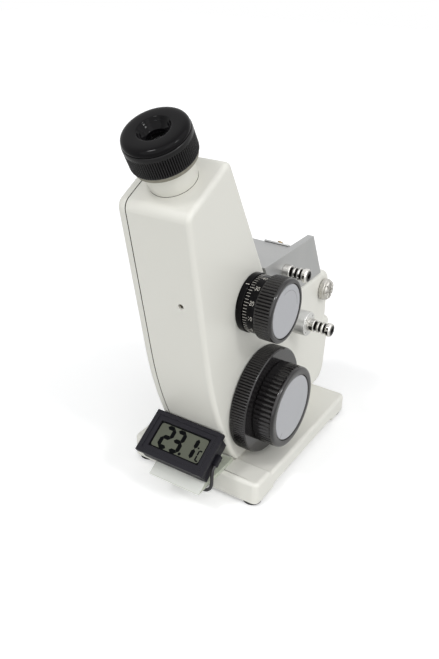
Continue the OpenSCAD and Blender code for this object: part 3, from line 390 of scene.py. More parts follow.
bm = copy_of("eyepiece_neck")
soften(bm, sharp(bm, lambda spot: abs((at_eye.inverted() @ spot).z) < 0.05, 60), 0.6, 2)
fit("neck_tube", bm, ivory, "stand", ["eyepiece_neck"])

# A line of painted shade, 0.6 mm high, where the neck enters the case.
bm = bmesh.new()
bmesh.ops.create_cone(bm, cap_ends=True, segments=96, radius1=13.0, radius2=12.4, depth=0.6,
                      matrix=at_eye @ Matrix.Translation((0, 0, 0.31)))
fit("foot_line", bm, seam_shade, "stand", [])

# Blasted aluminium: pale grey and evenly matt. The grain that the beads leave is drawn coarser than life.
blasted, place = new_finish("blasted_aluminium")
grain = add(blasted, "TexNoise", {"Scale": patch(0.385), "Detail": 3}, {"Vector": place})
cloud = add(blasted, "TexNoise", {"Scale": patch(16.7), "Detail": 2}, {"Vector": place})
tone = add(blasted, "Mix", {6: linear("adaeae"), 7: linear("b8b8b7")}, {0: cloud["Fac"]}, data_type="RGBA")
height = add(blasted, "Bump", {"Strength": 0.25, "Distance": 0.00006}, {"Height": grain["Fac"]})
gloss = add(blasted, "MapRange", {"To Min": 0.42, "To Max": 0.58}, {"Value": grain["Fac"]})
surface = add(blasted, "BsdfPrincipled", {"Metallic": 0.75},
              {"Base Color": tone[2], "Roughness": gloss["Result"], "Normal": height["Normal"]})
add(blasted, "OutputMaterial", links={"Surface": surface["BSDF"]})

# Dull nickel silver: a yellowish grey, gone cloudy with handling.
nickel_silver, place = new_finish("dull_nickel_silver")
cloud = add(nickel_silver, "TexNoise", {"Scale": patch(2.5), "Detail": 3}, {"Vector": place})
tone = add(nickel_silver, "Mix", {6: linear("7c796c"), 7: linear("98958a")}, {0: cloud["Fac"]},
           data_type="RGBA")
surface = add(nickel_silver, "BsdfPrincipled", {"Metallic": 0.7, "Roughness": 0.4}, {"Base Color": tone[2]})
add(nickel_silver, "OutputMaterial", links={"Surface": surface["BSDF"]})

bm = copy_of("stop_ring")
soften(bm, sharp(bm, everywhere, 60), 0.25, 2)
fit("stop_collar", bm, nickel_silver, "stand", ["stop_ring"])


# Focusing ring and eyecup
# The ring that the operator turns to focus: black phenolic, moulded with fine straight flutes and a smooth
# band. The eyecup screwed on it is the same material, polished, with a coned recess round the eye hole.

# Satin black phenolic: very dark and half matt. The fine grain of the mould is drawn coarser than life.
satin_black, place = new_finish("satin_black_phenolic")
grain = add(satin_black, "TexNoise", {"Scale": patch(0.556), "Detail": 3}, {"Vector": place})
height = add(satin_black, "Bump", {"Strength": 0.12, "Distance": 0.00006}, {"Height": grain["Fac"]})
gloss = add(satin_black, "MapRange", {"To Min": 0.22, "To Max": 0.3}, {"Value": grain["Fac"]})
surface = add(satin_black, "BsdfPrincipled", {"Base Color": linear("121112"), "Specular IOR Level": 0.25},
              {"Roughness": gloss["Result"], "Normal": height["Normal"]})
add(satin_black, "OutputMaterial", links={"Surface": surface["BSDF"]})

# Moulded black phenolic: glossy as the mould left it, so that each rib carries a thin bright line.
bright_black, place = new_finish("moulded_black_phenolic")
waves = add(bright_black, "TexNoise", {"Scale": patch(4.17), "Detail": 2}, {"Vector": place})
gloss = add(bright_black, "MapRange", {"To Min": 0.1, "To Max": 0.16}, {"Value": waves["Fac"]})
surface = add(bright_black, "BsdfPrincipled", {"Base Color": linear("191718"), "Specular IOR Level": 0.58},
              {"Roughness": gloss["Result"]})
add(bright_black, "OutputMaterial", links={"Surface": surface["BSDF"]})

# Polished black phenolic: the same black with narrow clear highlights.
gloss_black, place = new_finish("polished_black_phenolic")
waves = add(gloss_black, "TexNoise", {"Scale": patch(6.25), "Detail": 2}, {"Vector": place})
gloss = add(gloss_black, "MapRange", {"To Min": 0.08, "To Max": 0.12}, {"Value": waves["Fac"]})
surface = add(gloss_black, "BsdfPrincipled", {"Base Color": linear("0b0a0c"), "Specular IOR Level": 0.1},
              {"Roughness": gloss["Result"]})
add(gloss_black, "OutputMaterial", links={"Surface": surface["BSDF"]})


def drum(levels, count, depth, steps=8):
    """A drum about Z with ribs along it, through rings of (height, radius, share of the ribs' depth)."""
    bm = bmesh.new()
    bmesh.ops.create_circle(bm, cap_ends=False, radius=1, segments=count * steps)
    first = edges = bm.edges[:]
    for index, (height, radius, share) in enumerate(levels):
        if index:
            grown = bmesh.ops.extrude_edge_only(bm, edges=edges)["geom"]
            edges = [part for part in grown if isinstance(part, bmesh.types.BMEdge)]
        for vert in {vert for edge in edges for vert in edge.verts}:
            turn = math.atan2(vert.co.y, vert.co.x)
            reach = radius - depth * share * (1 - abs(math.cos(turn * count / 2)))
            vert.co = (reach * math.cos(turn), reach * math.sin(turn), height)
    return bm, first, edges


def close(bm, first, last):
    """Joins the last ring of a drum to its first one, as a tube, and points the faces outwards."""
    bmesh.ops.bridge_loops(bm, edges=first + last)
    bmesh.ops.recalc_face_normals(bm, faces=bm.faces)


def drill(piece, spots, radius, depth):
    """Drills blind holes in a piece, from (place, direction) pairs in millimetres."""
    bm = bmesh.new()
    for spot, way in spots:
        turn = Vector(way).to_track_quat("Z", "Y").to_matrix().to_4x4()
        bmesh.ops.create_cone(bm, cap_ends=True, segments=24, radius1=radius / 1000, radius2=radius / 1000,
                              depth=2 * depth / 1000, matrix=Matrix.Translation(Vector(spot) / 1000) @ turn)
    mesh = bpy.data.meshes.new("drill")
    bm.to_mesh(mesh)
    bm.free()
    bit = bpy.data.objects.new("drill", mesh)
    bpy.context.scene.collection.objects.link(bit)
    cut = piece.modifiers.new("cut", "BOOLEAN")
    cut.operation = "DIFFERENCE"
    cut.solver = "EXACT"
    cut.object = bit
    drilled = bpy.data.meshes.new_from_object(piece.evaluated_get(bpy.context.evaluated_depsgraph_get()))
    piece.modifiers.remove(cut)
    piece.data = drilled
    bpy.data.objects.remove(bit)


grip_radius = 17.8
flute_levels = [(15.2, 11.05, 0), (15.2, 17.1, 0), (15.35, 17.45, 0), (15.7, 17.7, 0), (16.0, 17.75, 0.4),
                (16.3, 17.8, 1), (25.2, 17.8, 1), (25.5, 17.8, 0.5), (25.7, 17.8, 0), (27.6, 17.75, 0),
                (27.95, 17.6, 0), (28.15, 17.35, 0), (28.2, 17.0, 0), (28.2, 11.05, 0)]
bm, first, last = drum(flute_levels, 90, 0.7)
close(bm, first, last)
bmesh.ops.transform(bm, matrix=at_eye, verts=bm.verts)
ring = fit("focusing_grip", bm, satin_black, "focusing", ["focus_ring"])
holes = []
for angle in (-142, 38):
    way = Vector((math.cos(math.radians(angle)), math.sin(math.radians(angle)), 0))
    holes.append((at_eye @ (way * grip_radius + Vector((0, 0, 26.8))), at_eye.to_3x3() @ way))
drill(ring, holes, 0.7, 1.6)


def turned(profile, steps=96):
    """A solid turned about Z from its closed half section, given as (radius, height) points."""
    bm = bmesh.new()
    verts = [bm.verts.new((radius, 0, height)) for radius, height in profile]
    edges = [bm.edges.new((verts[i], verts[(i + 1) % len(verts)])) for i in range(len(verts))]
    bmesh.ops.spin(bm, geom=verts + edges, cent=(0, 0, 0), axis=(0, 0, 1), angle=2 * math.pi, steps=steps,
                   use_merge=True, use_duplicate=False)
    bmesh.ops.remove_doubles(bm, verts=bm.verts, dist=0.0005)
    bmesh.ops.recalc_face_normals(bm, faces=bm.faces)
    return bm


cup = turned([(5, 25.25), (10.95, 25.25), (10.95, 28.25), (17.0, 28.25), (17.05, 28.45), (17.3, 28.6),
              (17.4, 28.9), (17.38, 29.4), (17.2, 30.1), (16.85, 30.7), (16.35, 31.15), (15.6, 31.5),
              (14.7, 31.7), (13.6, 31.78), (12.4, 31.8), (9.3, 31.8), (8.95, 31.76), (8.75, 31.62),
              (8.6, 31.4), (7.9, 30.4), (7.75, 30.25), (7.6, 30.22), (6.9, 29.2), (6.75, 29.08),
              (6.55, 29.0), (5.3, 27.5), (5.1, 27.3), (5.0, 27.0)])
bmesh.ops.transform(cup, matrix=at_eye, verts=cup.verts)
fit("eyecup_cap", cup, gloss_black, "focusing", ["eyecup"], 40)


# Lenses, prisms and the works inside
# Optical glass in black tubes and brass cells, with a silvered mirror for the scale. Only the eye lens shows,
# deep in the eyecup, and the two large prisms when the lid is open.

# Optical glass: clear and polished, with a trace of green.
glass, place = new_finish("optical_glass")
waves = add(glass, "TexNoise", {"Scale": patch(33.3), "Detail": 1}, {"Vector": place})
gloss = add(glass, "MapRange", {"To Min": 0.0, "To Max": 0.02}, {"Value": waves["Fac"]})
surface = add(glass, "BsdfPrincipled",
              {"Base Color": linear("eef4f4"), "IOR": 1.52, "Transmission Weight": 1.0},
              {"Roughness": gloss["Result"]})
add(glass, "OutputMaterial", links={"Surface": surface["BSDF"]})
dress(glass, "eye_lens", "field_lens", "reticle", "objective_lens", "amici_prism_upper", "amici_prism_lower",
      "scale_plate", "condenser_lens", "refracting_prism", "lid_prism")
dress(satin_black, "lens_cell", "telescope_tube")

# Turned brass: warm yellow, rather dull with age.
brass, place = new_finish("turned_brass")
patina = add(brass, "TexNoise", {"Scale": patch(4.55), "Detail": 3}, {"Vector": place})
tone = add(brass, "Mix", {6: linear("b08d4c"), 7: linear("c8a55f")}, {0: patina["Fac"]}, data_type="RGBA")
gloss = add(brass, "MapRange", {"To Min": 0.22, "To Max": 0.4}, {"Value": patina["Fac"]})
surface = add(brass, "BsdfPrincipled", {"Metallic": 1.0},
              {"Base Color": tone[2], "Roughness": gloss["Result"]})
add(brass, "OutputMaterial", links={"Surface": surface["BSDF"]})
dress(brass, "amici_cell_upper", "amici_cell_lower", "index_bush", "sector_arm")

# Front-silvered mirror: bright and smooth, with a slight haze.
silver, place = new_finish("silvered_mirror")
haze = add(silver, "TexNoise", {"Scale": patch(11.1), "Detail": 2}, {"Vector": place})
gloss = add(silver, "MapRange", {"To Min": 0.02, "To Max": 0.06}, {"Value": haze["Fac"]})
surface = add(silver, "BsdfPrincipled", {"Base Color": linear("e8eaec"), "Metallic": 1.0},
              {"Roughness": gloss["Result"]})
add(silver, "OutputMaterial", links={"Surface": surface["BSDF"]})
dress(silver, "swing_mirror")


# Dispersion scale and its fixed ring
# Two polished black rings on the case's right side: the inner one is fixed and has the index mark. The outer
# one turns and is engraved from 0 up to 60 one way and 50 the other, with its lines filled white.

ring_left, ring_right, ring_radius = 26.8, 34.6, 17.3
index_ring_radius = 17.8


def beyond(radius):
    """A test for the spots further than a radius from the dispersion axis."""
    return lambda spot: math.hypot(spot.y - disp_y, spot.z - disp_z) > radius


bm = copy_of("index_ring")
soften(bm, sharp(bm, beyond(index_ring_radius - 0.1), 60), 0.5, 3)
fit("index_collar", bm, gloss_black, "stand", ["index_ring"])
bm = copy_of("dispersion_scale")
soften(bm, sharp(bm, beyond(ring_radius - 0.3), 60), 0.3, 3)
fit("dispersion_dial", bm, gloss_black, "dispersion", ["dispersion_scale"])

# White filling of the engraving: chalky, slightly yellowed.
white_fill, place = new_finish("white_filling")
wear = add(white_fill, "TexNoise", {"Scale": patch(0.625), "Detail": 3}, {"Vector": place})
tone = add(white_fill, "Mix", {6: linear("d2cdc3"), 7: linear("f2eee6")}, {0: wear["Fac"]}, data_type="RGBA")
surface = add(white_fill, "BsdfPrincipled", {"Roughness": 0.7}, {"Base Color": tone[2]})
add(white_fill, "OutputMaterial", links={"Surface": surface["BSDF"]})


def on_dial(radius, angle):
    """Frame on a drum about the dispersion axis: X along the axis, Y up round it, Z outwards."""
    turn = math.radians(angle)
    out = Vector((0, math.cos(turn), math.sin(turn)))
    along, up = Vector((1, 0, 0)), out.cross(Vector((1, 0, 0)))
    matrix = Matrix((along, up, out)).transposed().to_4x4()
    matrix.translation = Vector((0, disp_y, disp_z)) + radius * out
    return matrix


def stroke(bm, place, x0, x1, width, thick=0.04):
    """A thin bar of filling from x0 to x1 along a line's own X."""
    size = Matrix.Diagonal((x1 - x0, width, thick, 1))
    bmesh.ops.create_cube(bm, size=1, matrix=place @ Matrix.Translation(((x0 + x1) / 2, 0, 0)) @ size)


zero_angle = 215
degrees_per_unit = 3
line_start = ring_left + 0.3
ticks = bmesh.new()
for unit in range(0, 120, 2):
    length = 3.3 if unit % 10 == 0 else 2.4
    angle = zero_angle - degrees_per_unit * unit
    stroke(ticks, on_dial(ring_radius, angle), line_start, line_start + length, 0.16)
fit("dial_lines", ticks, white_fill, "dispersion", [])

# The index mark on the fixed ring stands at the upper front, towards the operator.
mark_angle = 121
mark_start, mark_end = 24.15, 26.3
mark = bmesh.new()
stroke(mark, on_dial(index_ring_radius - 0.16, mark_angle), mark_start, mark_end, 0.36, 0.32)
fit("index_line", mark, white_fill, "stand", [])


def words(text, size):
    """Flat lettering as a mesh in millimetres, centred, with a little thickness."""
    curve = bpy.data.curves.new("words", "FONT")
    curve.body = text
    curve.size = size
    curve.align_x = "CENTER"
    curve.align_y = "CENTER"
    curve.extrude = 0.03
    curve.offset = -0.065
    holder = bpy.data.objects.new("words", curve)
    bpy.context.scene.collection.objects.link(holder)
    mesh = bpy.data.meshes.new_from_object(holder.evaluated_get(bpy.context.evaluated_depsgraph_get()))
    bpy.data.objects.remove(holder)
    bm = bmesh.new()
    bm.from_mesh(mesh)
    return bm


numeral_x = 31.9
numerals = bmesh.new()
for tens in range(-5, 7):
    bm = words(str(10 * abs(tens)), 3.8)
    bmesh.ops.scale(bm, vec=(0.82, 1, 1), verts=bm.verts)
    angle = zero_angle - 10 * degrees_per_unit * tens
    for vert in bm.verts:
        spot = on_dial(ring_radius + vert.co.z, angle - math.degrees(vert.co.y / ring_radius))
        vert.co = spot @ Vector((numeral_x + vert.co.x, 0, 0))
    mesh = bpy.data.meshes.new("numeral")
    bm.to_mesh(mesh)
    bm.free()
    numerals.from_mesh(mesh)
fit("dial_numerals", numerals, white_fill, "dispersion", [])


# Dispersion knob
# A ribbed hand knob of moulded black phenolic on the end of the dispersion shaft, with a smooth rounded rim
# and a grey printed disc let into its end.

knob_levels = [(8.6, 4.02, 0), (0, 4.02, 0), (0, 18.2, 0), (0.15, 18.6, 0.3), (0.5, 19.0, 0.8),
               (0.9, 19.2, 1), (9.0, 19.2, 1), (9.5, 19.2, 0.8), (9.9, 19.2, 0.25), (10.0, 19.2, 0),
               (10.4, 19.2, 0), (10.9, 19.1, 0), (11.25, 18.85, 0), (11.5, 18.45, 0), (11.6, 17.9, 0),
               (11.6, 16.9, 0), (11.5, 16.65, 0), (11.2, 16.55, 0), (10.6, 16.55, 0)]
to_right = Matrix.Rotation(math.radians(90), 4, "Y")
bm, first, last = drum(knob_levels, 60, 0.9)
bmesh.ops.holes_fill(bm, edges=first + last, sides=0)
bmesh.ops.recalc_face_normals(bm, faces=bm.faces)
bmesh.ops.transform(bm, matrix=Matrix.Translation((ring_right, disp_y, disp_z)) @ to_right, verts=bm.verts)
fit("dispersion_grip", bm, bright_black, "dispersion", ["dispersion_knob"])

# Satin disc: pale grey anodised sheet with a fine grain, drawn coarser than life.
satin_grey, place = new_finish("satin_grey_disc")
grain = add(satin_grey, "TexNoise", {"Scale": patch(0.833), "Detail": 2}, {"Vector": place})
tone = add(satin_grey, "Mix", {6: linear("b0b1b5"), 7: linear("b8b9bd")}, {0: grain["Fac"]}, data_type="RGBA")
gloss = add(satin_grey, "MapRange", {"To Min": 0.4, "To Max": 0.5}, {"Value": grain["Fac"]})
surface = add(satin_grey, "BsdfPrincipled", {"Metallic": 0.3},
              {"Base Color": tone[2], "Roughness": gloss["Result"]})
add(satin_grey, "OutputMaterial", links={"Surface": surface["BSDF"]})

# Grey printing on the discs: a shade darker than the sheet.
grey_print, place = new_finish("grey_printing")
specks = add(grey_print, "TexNoise", {"Scale": patch(0.5), "Detail": 2}, {"Vector": place})
tone = add(grey_print, "Mix", {6: linear("6f7074"), 7: linear("8c8d91")}, {0: specks["Fac"]},
           data_type="RGBA")
surface = add(grey_print, "BsdfPrincipled", {"Roughness": 0.6}, {"Base Color": tone[2]})
add(grey_print, "OutputMaterial", links={"Surface": surface["BSDF"]})

plate_face = 46
bm = copy_of("dispersion_disc")
soften(bm, sharp(bm, lambda spot: spot.x > plate_face - 0.5, 60), 0.2, 2)
fit("dispersion_plate", bm, satin_grey, "dispersion", ["dispersion_disc"])

arc_radius = 12.5
arc = bmesh.new()
arc_start = (Matrix.Translation((plate_face, disp_y + arc_radius, disp_z))
             @ Matrix.Diagonal((0.06, 0.25, 1, 1)))
bmesh.ops.create_grid(arc, x_segments=1, y_segments=1, size=0.5, matrix=arc_start)
bmesh.ops.spin(arc, geom=arc.faces[:] + arc.edges[:] + arc.verts[:], cent=(0, disp_y, disp_z), axis=(1, 0, 0),
               angle=math.radians(110), steps=48, use_duplicate=False)
bmesh.ops.recalc_face_normals(arc, faces=arc.faces)
fit("disc_arc", arc, grey_print, "dispersion", [])


# Index flange and index knob
# The large finely fluted flange turns the sector that carries the scale; the ribbed knob before it is for
# the fingers. Both are moulded black phenolic, and the flange's front face is turned flat.

flange_levels = [(0, 5.02, 0), (0, 33.6, 0), (0.3, 34.1, 0.3), (0.9, 34.5, 1), (1.2, 34.6, 1), (9.8, 34.6, 1),
                 (10.2, 34.5, 0.6), (10.45, 34.35, 0.1), (10.5, 34.3, 0), (11.0, 33.75, 0), (11.0, 5.02, 0)]
bm, first, last = drum(flange_levels, 116, 0.8)
close(bm, first, last)
bmesh.ops.transform(bm, matrix=Matrix.Translation((22.8, index_y, index_z)) @ to_right, verts=bm.verts)
fit("fluted_flange", bm, bright_black, "index", ["index_flange"])

knob_levels = [(11.4, 5.02, 0), (0, 5.02, 0), (0, 25.0, 0), (0.15, 25.5, 0.3), (0.6, 26.1, 0.8),
               (1.1, 26.3, 1), (11.4, 26.3, 1), (12.0, 26.3, 0.8), (12.5, 26.3, 0.25), (12.6, 26.3, 0),
               (13.1, 26.25, 0), (13.6, 26.1, 0), (14.0, 25.8, 0), (14.25, 25.4, 0), (14.4, 24.8, 0),
               (14.4, 22.0, 0), (14.3, 21.75, 0), (14.0, 21.6, 0), (13.4, 21.6, 0)]
bm, first, last = drum(knob_levels, 52, 1.3)
bmesh.ops.holes_fill(bm, edges=first + last, sides=0)
bmesh.ops.recalc_face_normals(bm, faces=bm.faces)
bmesh.ops.transform(bm, matrix=Matrix.Translation((33.8, index_y, index_z)) @ to_right, verts=bm.verts)
fit("index_grip", bm, bright_black, "index", ["index_knob"])
index_face = 48
bm = copy_of("index_disc")
soften(bm, sharp(bm, lambda spot: spot.x > index_face - 0.5, 60), 0.2, 2)
fit("index_plate", bm, satin_grey, "index", ["index_disc"])

line_radius = 18.9
bm = bmesh.new()
bmesh.ops.create_cube(bm, size=1, matrix=Matrix.Translation((index_face, index_y, index_z))
                      @ Matrix.Rotation(math.radians(45), 4, "X") @ Matrix.Translation((0, -line_radius, 0))
                      @ Matrix.Diagonal((0.06, 3.8, 0.4, 1)))
fit("disc_line", bm, grey_print, "index", [])


# Prism seats and the lid
# Two blocks of bead-blasted, grey anodised aluminium hold the prisms. The upper one is the lid and swings to
# the rear on a steel pin; its edges are broken by hand. A cross-drilled nickel wheel on the pin locks it.

sole_z = 108
tongue_y = 60


def on_lid_block(spot):
    """Whether a spot of the lid lies above its sole and before its hinge tongue."""
    return spot.z > sole_z and spot.y < tongue_y


dress(blasted, "refracting_seat")
bm = copy_of("lid_seat")
soften(bm, sharp(bm, on_lid_block), 0.35, 2)
fit("lid_block", bm, blasted, "lid", ["lid_seat"])

# Worn nickel: warm grey, dulled by fingers.
worn_nickel, place = new_finish("worn_nickel")
wear = add(worn_nickel, "TexNoise", {"Scale": patch(3.85), "Detail": 3}, {"Vector": place})
tone = add(worn_nickel, "Mix", {6: linear("b0ada7"), 7: linear("dad8d3")}, {0: wear["Fac"]}, data_type="RGBA")
gloss = add(worn_nickel, "MapRange", {"To Min": 0.25, "To Max": 0.4}, {"Value": wear["Fac"]})
surface = add(worn_nickel, "BsdfPrincipled", {"Metallic": 1.0},
              {"Base Color": tone[2], "Roughness": gloss["Result"]})
add(worn_nickel, "OutputMaterial", links={"Surface": surface["BSDF"]})

bm = copy_of("lock_knob")
soften(bm, sharp(bm, everywhere, 50), 0.12, 1)
fit("lock_wheel", bm, worn_nickel, "lock", ["lock_knob"])


# Light shade
# A small flap of the same grey metal on a knuckle hinge, over the window in the lid's slope. The hinge's
# leaf lies on the slope, under one brass screw.

bm = copy_of("shade_hinge")
soften(bm, sharp(bm, everywhere, 60), 0.15, 2)
fit("shade_leaf", bm, blasted, "lid", ["shade_hinge"])
bm = copy_of("light_shade")
soften(bm, sharp(bm, everywhere, 60), 0.15, 2)
fit("shade_flap", bm, blasted, "shade", ["light_shade"])

# Tarnished brass: brown-yellow and dull, as on a screw that is never cleaned.
brown_brass, place = new_finish("tarnished_brass")
patina = add(brown_brass, "TexNoise", {"Scale": patch(1.11), "Detail": 3}, {"Vector": place})
tone = add(brown_brass, "Mix", {6: linear("5d4c2e"), 7: linear("8a7448")}, {0: patina["Fac"]},
           data_type="RGBA")
surface = add(brown_brass, "BsdfPrincipled", {"Metallic": 0.85, "Roughness": 0.4}, {"Base Color": tone[2]})
add(brown_brass, "OutputMaterial", links={"Surface": surface["BSDF"]})
dress(brown_brass, "shade_screw")


# Hose nozzles
# Turned brass nozzles with ribs for the water hoses, nickel plated, one on each side of both prism seats.
# The lower pair stands in turned aluminium collars that pass through the case.

# Nickel plate with painted shade: bright on the ribs, painted brown-black in the grooves by the distance from
# the axis, as the shade and dark reflections there.
plated, place = new_finish("nickel_plate_painted_groove_shade")
parts = add(plated, "SeparateXYZ", links={"Vector": place})
lid_nozzle_y, lid_nozzle_z = 4, 129.5
reaches = []
for y, z in ((collar_y, collar_z), (lid_nozzle_y, lid_nozzle_z)):
    spot = add(plated, "CombineXYZ", {"Y": -y / 1000, "Z": -z / 1000})
    level = add(plated, "CombineXYZ", links={"Y": parts["Y"], "Z": parts["Z"]})
    offset = add(plated, "VectorMath", {}, {0: level["Vector"], 1: spot["Vector"]}, operation="ADD")
    reaches.append(add(plated, "VectorMath", {}, {0: offset["Vector"]}, operation="LENGTH")["Value"])
reach = add(plated, "Math", {}, {0: reaches[0], 1: reaches[1]}, operation="MINIMUM")
# The painted shade mask: 0 in the grooves, 1 on the ribs.
groove_shade_mask = add(plated, "MapRange", {"From Min": 0.0029, "From Max": 0.0041}, {"Value": reach[0]})
tone = add(plated, "Mix", {6: linear("191715"), 7: linear("dcdad6")}, {0: groove_shade_mask["Result"]}, data_type="RGBA")
gloss = add(plated, "MapRange", {"To Min": 0.4, "To Max": 0.1}, {"Value": groove_shade_mask["Result"]})
surface = add(plated, "BsdfPrincipled", {"Metallic": 1.0},
              {"Base Color": tone[2], "Roughness": gloss["Result"]})
add(plated, "OutputMaterial", links={"Surface": surface["BSDF"]})

# Turned aluminium: bright but slightly dull, with a fine unevenness from the tool.
turned_grey, place = new_finish("turned_aluminium")
cloud = add(turned_grey, "TexNoise", {"Scale": patch(0.714), "Detail": 2}, {"Vector": place})
tone = add(turned_grey, "Mix", {6: linear("cbcbc9"), 7: linear("dededb")}, {0: cloud["Fac"]},
           data_type="RGBA")
gloss = add(turned_grey, "MapRange", {"To Min": 0.34, "To Max": 0.46}, {"Value": cloud["Fac"]})
surface = add(turned_grey, "BsdfPrincipled", {"Metallic": 0.6},
              {"Base Color": tone[2], "Roughness": gloss["Result"]})
add(turned_grey, "OutputMaterial", links={"Surface": surface["BSDF"]})


def on_collar_rim(spot):
    """Whether a spot lies on the outer rim of a collar's free end."""
    return abs(abs(spot.x) - 34) < 0.01 and math.hypot(spot.y - collar_y, spot.z - collar_z) > 8


for node in ("nozzle_collar_right", "nozzle_collar_left"):
    bm = copy_of(node)
    soften(bm, sharp(bm, on_collar_rim), 0.5, 3)
    fit(node.replace("nozzle", "water"), bm, turned_grey, "stand", [node])
dress(plated, "nozzle_low_right", "nozzle_low_left", "nozzle_lid_right", "nozzle_lid_left")


# Clear bracket
# A V-bent strip of milky acrylic with sawn edges, screwed to the base's nose with two nickel screws.
# Its sloping leg carries the thermometer.

# Milky acrylic: clear sheet that scatters a little, so that it looks pale grey-white against the base.
acrylic, place = new_finish("milky_acrylic")
cloud = add(acrylic, "TexNoise", {"Scale": patch(11.1), "Detail": 2}, {"Vector": place})
gloss = add(acrylic, "MapRange", {"To Min": 0.15, "To Max": 0.3}, {"Value": cloud["Fac"]})
surface = add(acrylic, "BsdfPrincipled",
              {"Base Color": linear("f4f6f0"), "IOR": 1.49, "Transmission Weight": 0.3},
              {"Roughness": gloss["Result"]})
add(acrylic, "OutputMaterial", links={"Surface": surface["BSDF"]})

# Sawn edges of the sheet: green-grey and dull.
sawn_edge, place = new_finish("sawn_acrylic_edge")
saw = add(sawn_edge, "TexNoise", {"Scale": patch(1.43), "Detail": 3}, {"Vector": place})
tone = add(sawn_edge, "Mix", {6: linear("b4baa9"), 7: linear("d2d6c8")}, {0: saw["Fac"]}, data_type="RGBA")
surface = add(sawn_edge, "BsdfPrincipled", {"Roughness": 0.5, "Transmission Weight": 0.15},
              {"Base Color": tone[2]})
add(sawn_edge, "OutputMaterial", links={"Surface": surface["BSDF"]})

sheet_face_area = 400
bm = copy_of("display_bracket")
for face in bm.faces:
    if face.calc_area() < sheet_face_area:
        face.material_index = 1
soften(bm, sharp(bm, everywhere, 60), 0.2, 2)
strip = fit("acrylic_strip", bm, acrylic, "stand", ["display_bracket"])
strip.data.materials.append(sawn_edge)
dress(nickel, "bracket_screws")


# Panel thermometer
# A small digital thermometer in a dark moulded case. Its bezel steps down to the grey-green glass, on which
# black bars form the reading.

# Dark case moulding: blue-black, with the fine grain of a spark-eroded mould, drawn coarser than life.
blue_black, place = new_finish("blue_black_moulding")
grain = add(blue_black, "TexNoise", {"Scale": patch(0.312), "Detail": 3}, {"Vector": place})
height = add(blue_black, "Bump", {"Strength": 0.2, "Distance": 0.00005}, {"Height": grain["Fac"]})
gloss = add(blue_black, "MapRange", {"To Min": 0.36, "To Max": 0.5}, {"Value": grain["Fac"]})
surface = add(blue_black, "BsdfPrincipled", {"Base Color": linear("1b1a20"), "Specular IOR Level": 0.15},
              {"Roughness": gloss["Result"], "Normal": height["Normal"]})
add(blue_black, "OutputMaterial", links={"Surface": surface["BSDF"]})
bm = copy_of("display_bezel")
soften(bm, sharp(bm, everywhere, 60), 0.3, 3)
fit("thermometer_bezel", bm, blue_black, "stand", ["display_bezel"])
bm = copy_of("display_body")
soften(bm, sharp(bm, everywhere, 60), 0.3, 2)
fit("thermometer_case", bm, blue_black, "stand", ["display_body"])
dress(rubber, "lead_grommet")

# Display glass: grey-green behind a clear cover.
lcd_glass, place = new_finish("display_glass")
drift = add(lcd_glass, "TexNoise", {"Scale": patch(20), "Detail": 2}, {"Vector": place})
tone = add(lcd_glass, "Mix", {6: linear("525549"), 7: linear("595c50")}, {0: drift["Fac"]}, data_type="RGBA")
surface = add(lcd_glass, "BsdfPrincipled", {"Roughness": 0.2, "Specular IOR Level": 0.25},
              {"Base Color": tone[2]})
add(lcd_glass, "OutputMaterial", links={"Surface": surface["BSDF"]})
dress(lcd_glass, "display_window")

# Liquid crystal bars: nearly black, flat.
lcd_bars, place = new_finish("liquid_crystal_bars")
drift = add(lcd_bars, "TexNoise", {"Scale": patch(2.5)}, {"Vector": place})
gloss = add(lcd_bars, "MapRange", {"To Min": 0.3, "To Max": 0.4}, {"Value": drift["Fac"]})
surface = add(lcd_bars, "BsdfPrincipled", {"Base Color": linear("0b0c0d"), "Specular IOR Level": 0.02},
              {"Roughness": gloss["Result"]})
add(lcd_bars, "OutputMaterial", links={"Surface": surface["BSDF"]})

display_slope = 32
glass_level = -1.6
at_display = Matrix.Translation((0, -79.405, 41.1)) @ Matrix.Rotation(math.radians(display_slope), 4, "X")
digit_bars = {"1": "bc", "2": "abged", "3": "abgcd", "C": "adef"}


def thicken(bm, faces, thickness):
    """Raises faces by a thickness as a thin solid."""
    grown = bmesh.ops.extrude_face_region(bm, geom=faces)["geom"]
    top = [part for part in grown if isinstance(part, bmesh.types.BMVert)]
    bmesh.ops.translate(bm, vec=(0, 0, thickness), verts=top)


def bar(bm, ends, width, corner):
    """One bar of a digit between two points, with pointed ends."""
    a, b = Vector(ends[0]), Vector(ends[1])
    way = (b - a).normalized()
    side = Vector((-way.y, way.x)) * width / 2
    spots = [a, a + way * width / 2 + side, b - way * width / 2 + side, b, b - way * width / 2 - side,
             a + way * width / 2 - side]
    verts = [bm.verts.new((corner[0] + p.x, corner[1] + p.y, glass_level + 0.03)) for p in spots]
    thicken(bm, [bm.faces.new(verts)], 0.04)


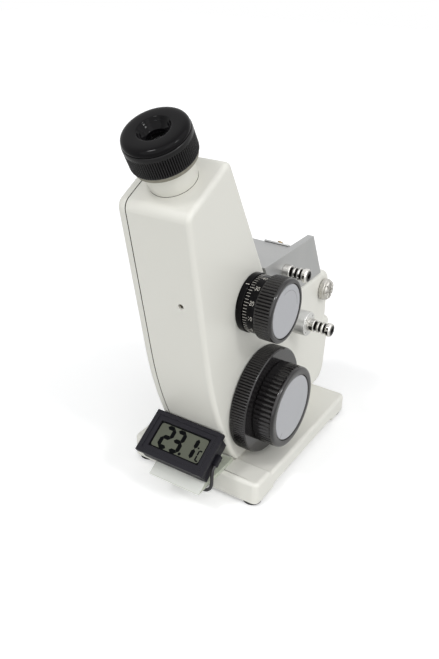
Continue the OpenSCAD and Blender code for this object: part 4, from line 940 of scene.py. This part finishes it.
def digit(bm, sign, corner, wide, high, thick):
    """One sign of the reading, from its lower left corner; its bars are lettered clockwise from the top."""
    half, gap = high / 2, thick * 0.02
    ends = {"a": ((gap, high), (wide - gap, high)), "b": ((wide, half + gap), (wide, high - gap)),
            "c": ((wide, gap), (wide, half - gap)), "d": ((gap, 0), (wide - gap, 0)),
            "e": ((0, gap), (0, half - gap)), "f": ((0, half + gap), (0, high - gap)),
            "g": ((gap, half), (wide - gap, half))}
    for letter in digit_bars[sign]:
        bar(bm, ends[letter], thick, corner)


# The reading: two digits and a third after the point, with bars 2.7 mm wide, then the degree sign as a dot
# and a small C.
foot = -6.6
bm = bmesh.new()
for sign, left in (("2", -12.4), ("3", -4.4), ("1", 5.3)):
    digit(bm, sign, (left, foot), 5.6, 13.0, 2.7)
digit(bm, "C", (14.6, foot), 2.2, 6.6, 1.0)
for spot, radius in (((3.5, foot), 1.0), ((13.2, 1.2), 0.6)):
    bmesh.ops.create_cone(bm, cap_ends=True, segments=16, radius1=radius, radius2=radius, depth=0.04,
                          matrix=Matrix.Translation((*spot, glass_level + 0.05)))
bmesh.ops.recalc_face_normals(bm, faces=bm.faces)
bmesh.ops.transform(bm, matrix=at_display, verts=bm.verts)
fit("reading", bm, lcd_bars, "stand", [])

# A black border on the glass along the bezel's inner edge, 36.4 by 17.4 mm and 1.1 mm wide, with round inner
# corners.
bm = bmesh.new()
border = Matrix.Translation((0, 0, glass_level + 0.02)) @ Matrix.Diagonal((36.4, 17.4, 1, 1))
bmesh.ops.create_grid(bm, x_segments=1, y_segments=1, size=0.5, matrix=border)
bmesh.ops.inset_region(bm, faces=bm.faces[:], thickness=1.1, use_boundary=True)
inner = [face for face in bm.faces if face.calc_area() > 300]
bmesh.ops.delete(bm, geom=inner, context="FACES_ONLY")
corners = [vert for vert in bm.verts if abs(vert.co.y) < 8]
bmesh.ops.bevel(bm, geom=corners, offset=1.6, segments=5, profile=0.5, affect="VERTICES", material=-1)
thicken(bm, bm.faces[:], 0.03)
bmesh.ops.recalc_face_normals(bm, faces=bm.faces)
bmesh.ops.transform(bm, matrix=at_display, verts=bm.verts)
fit("glass_border", bm, lcd_bars, "stand", [])
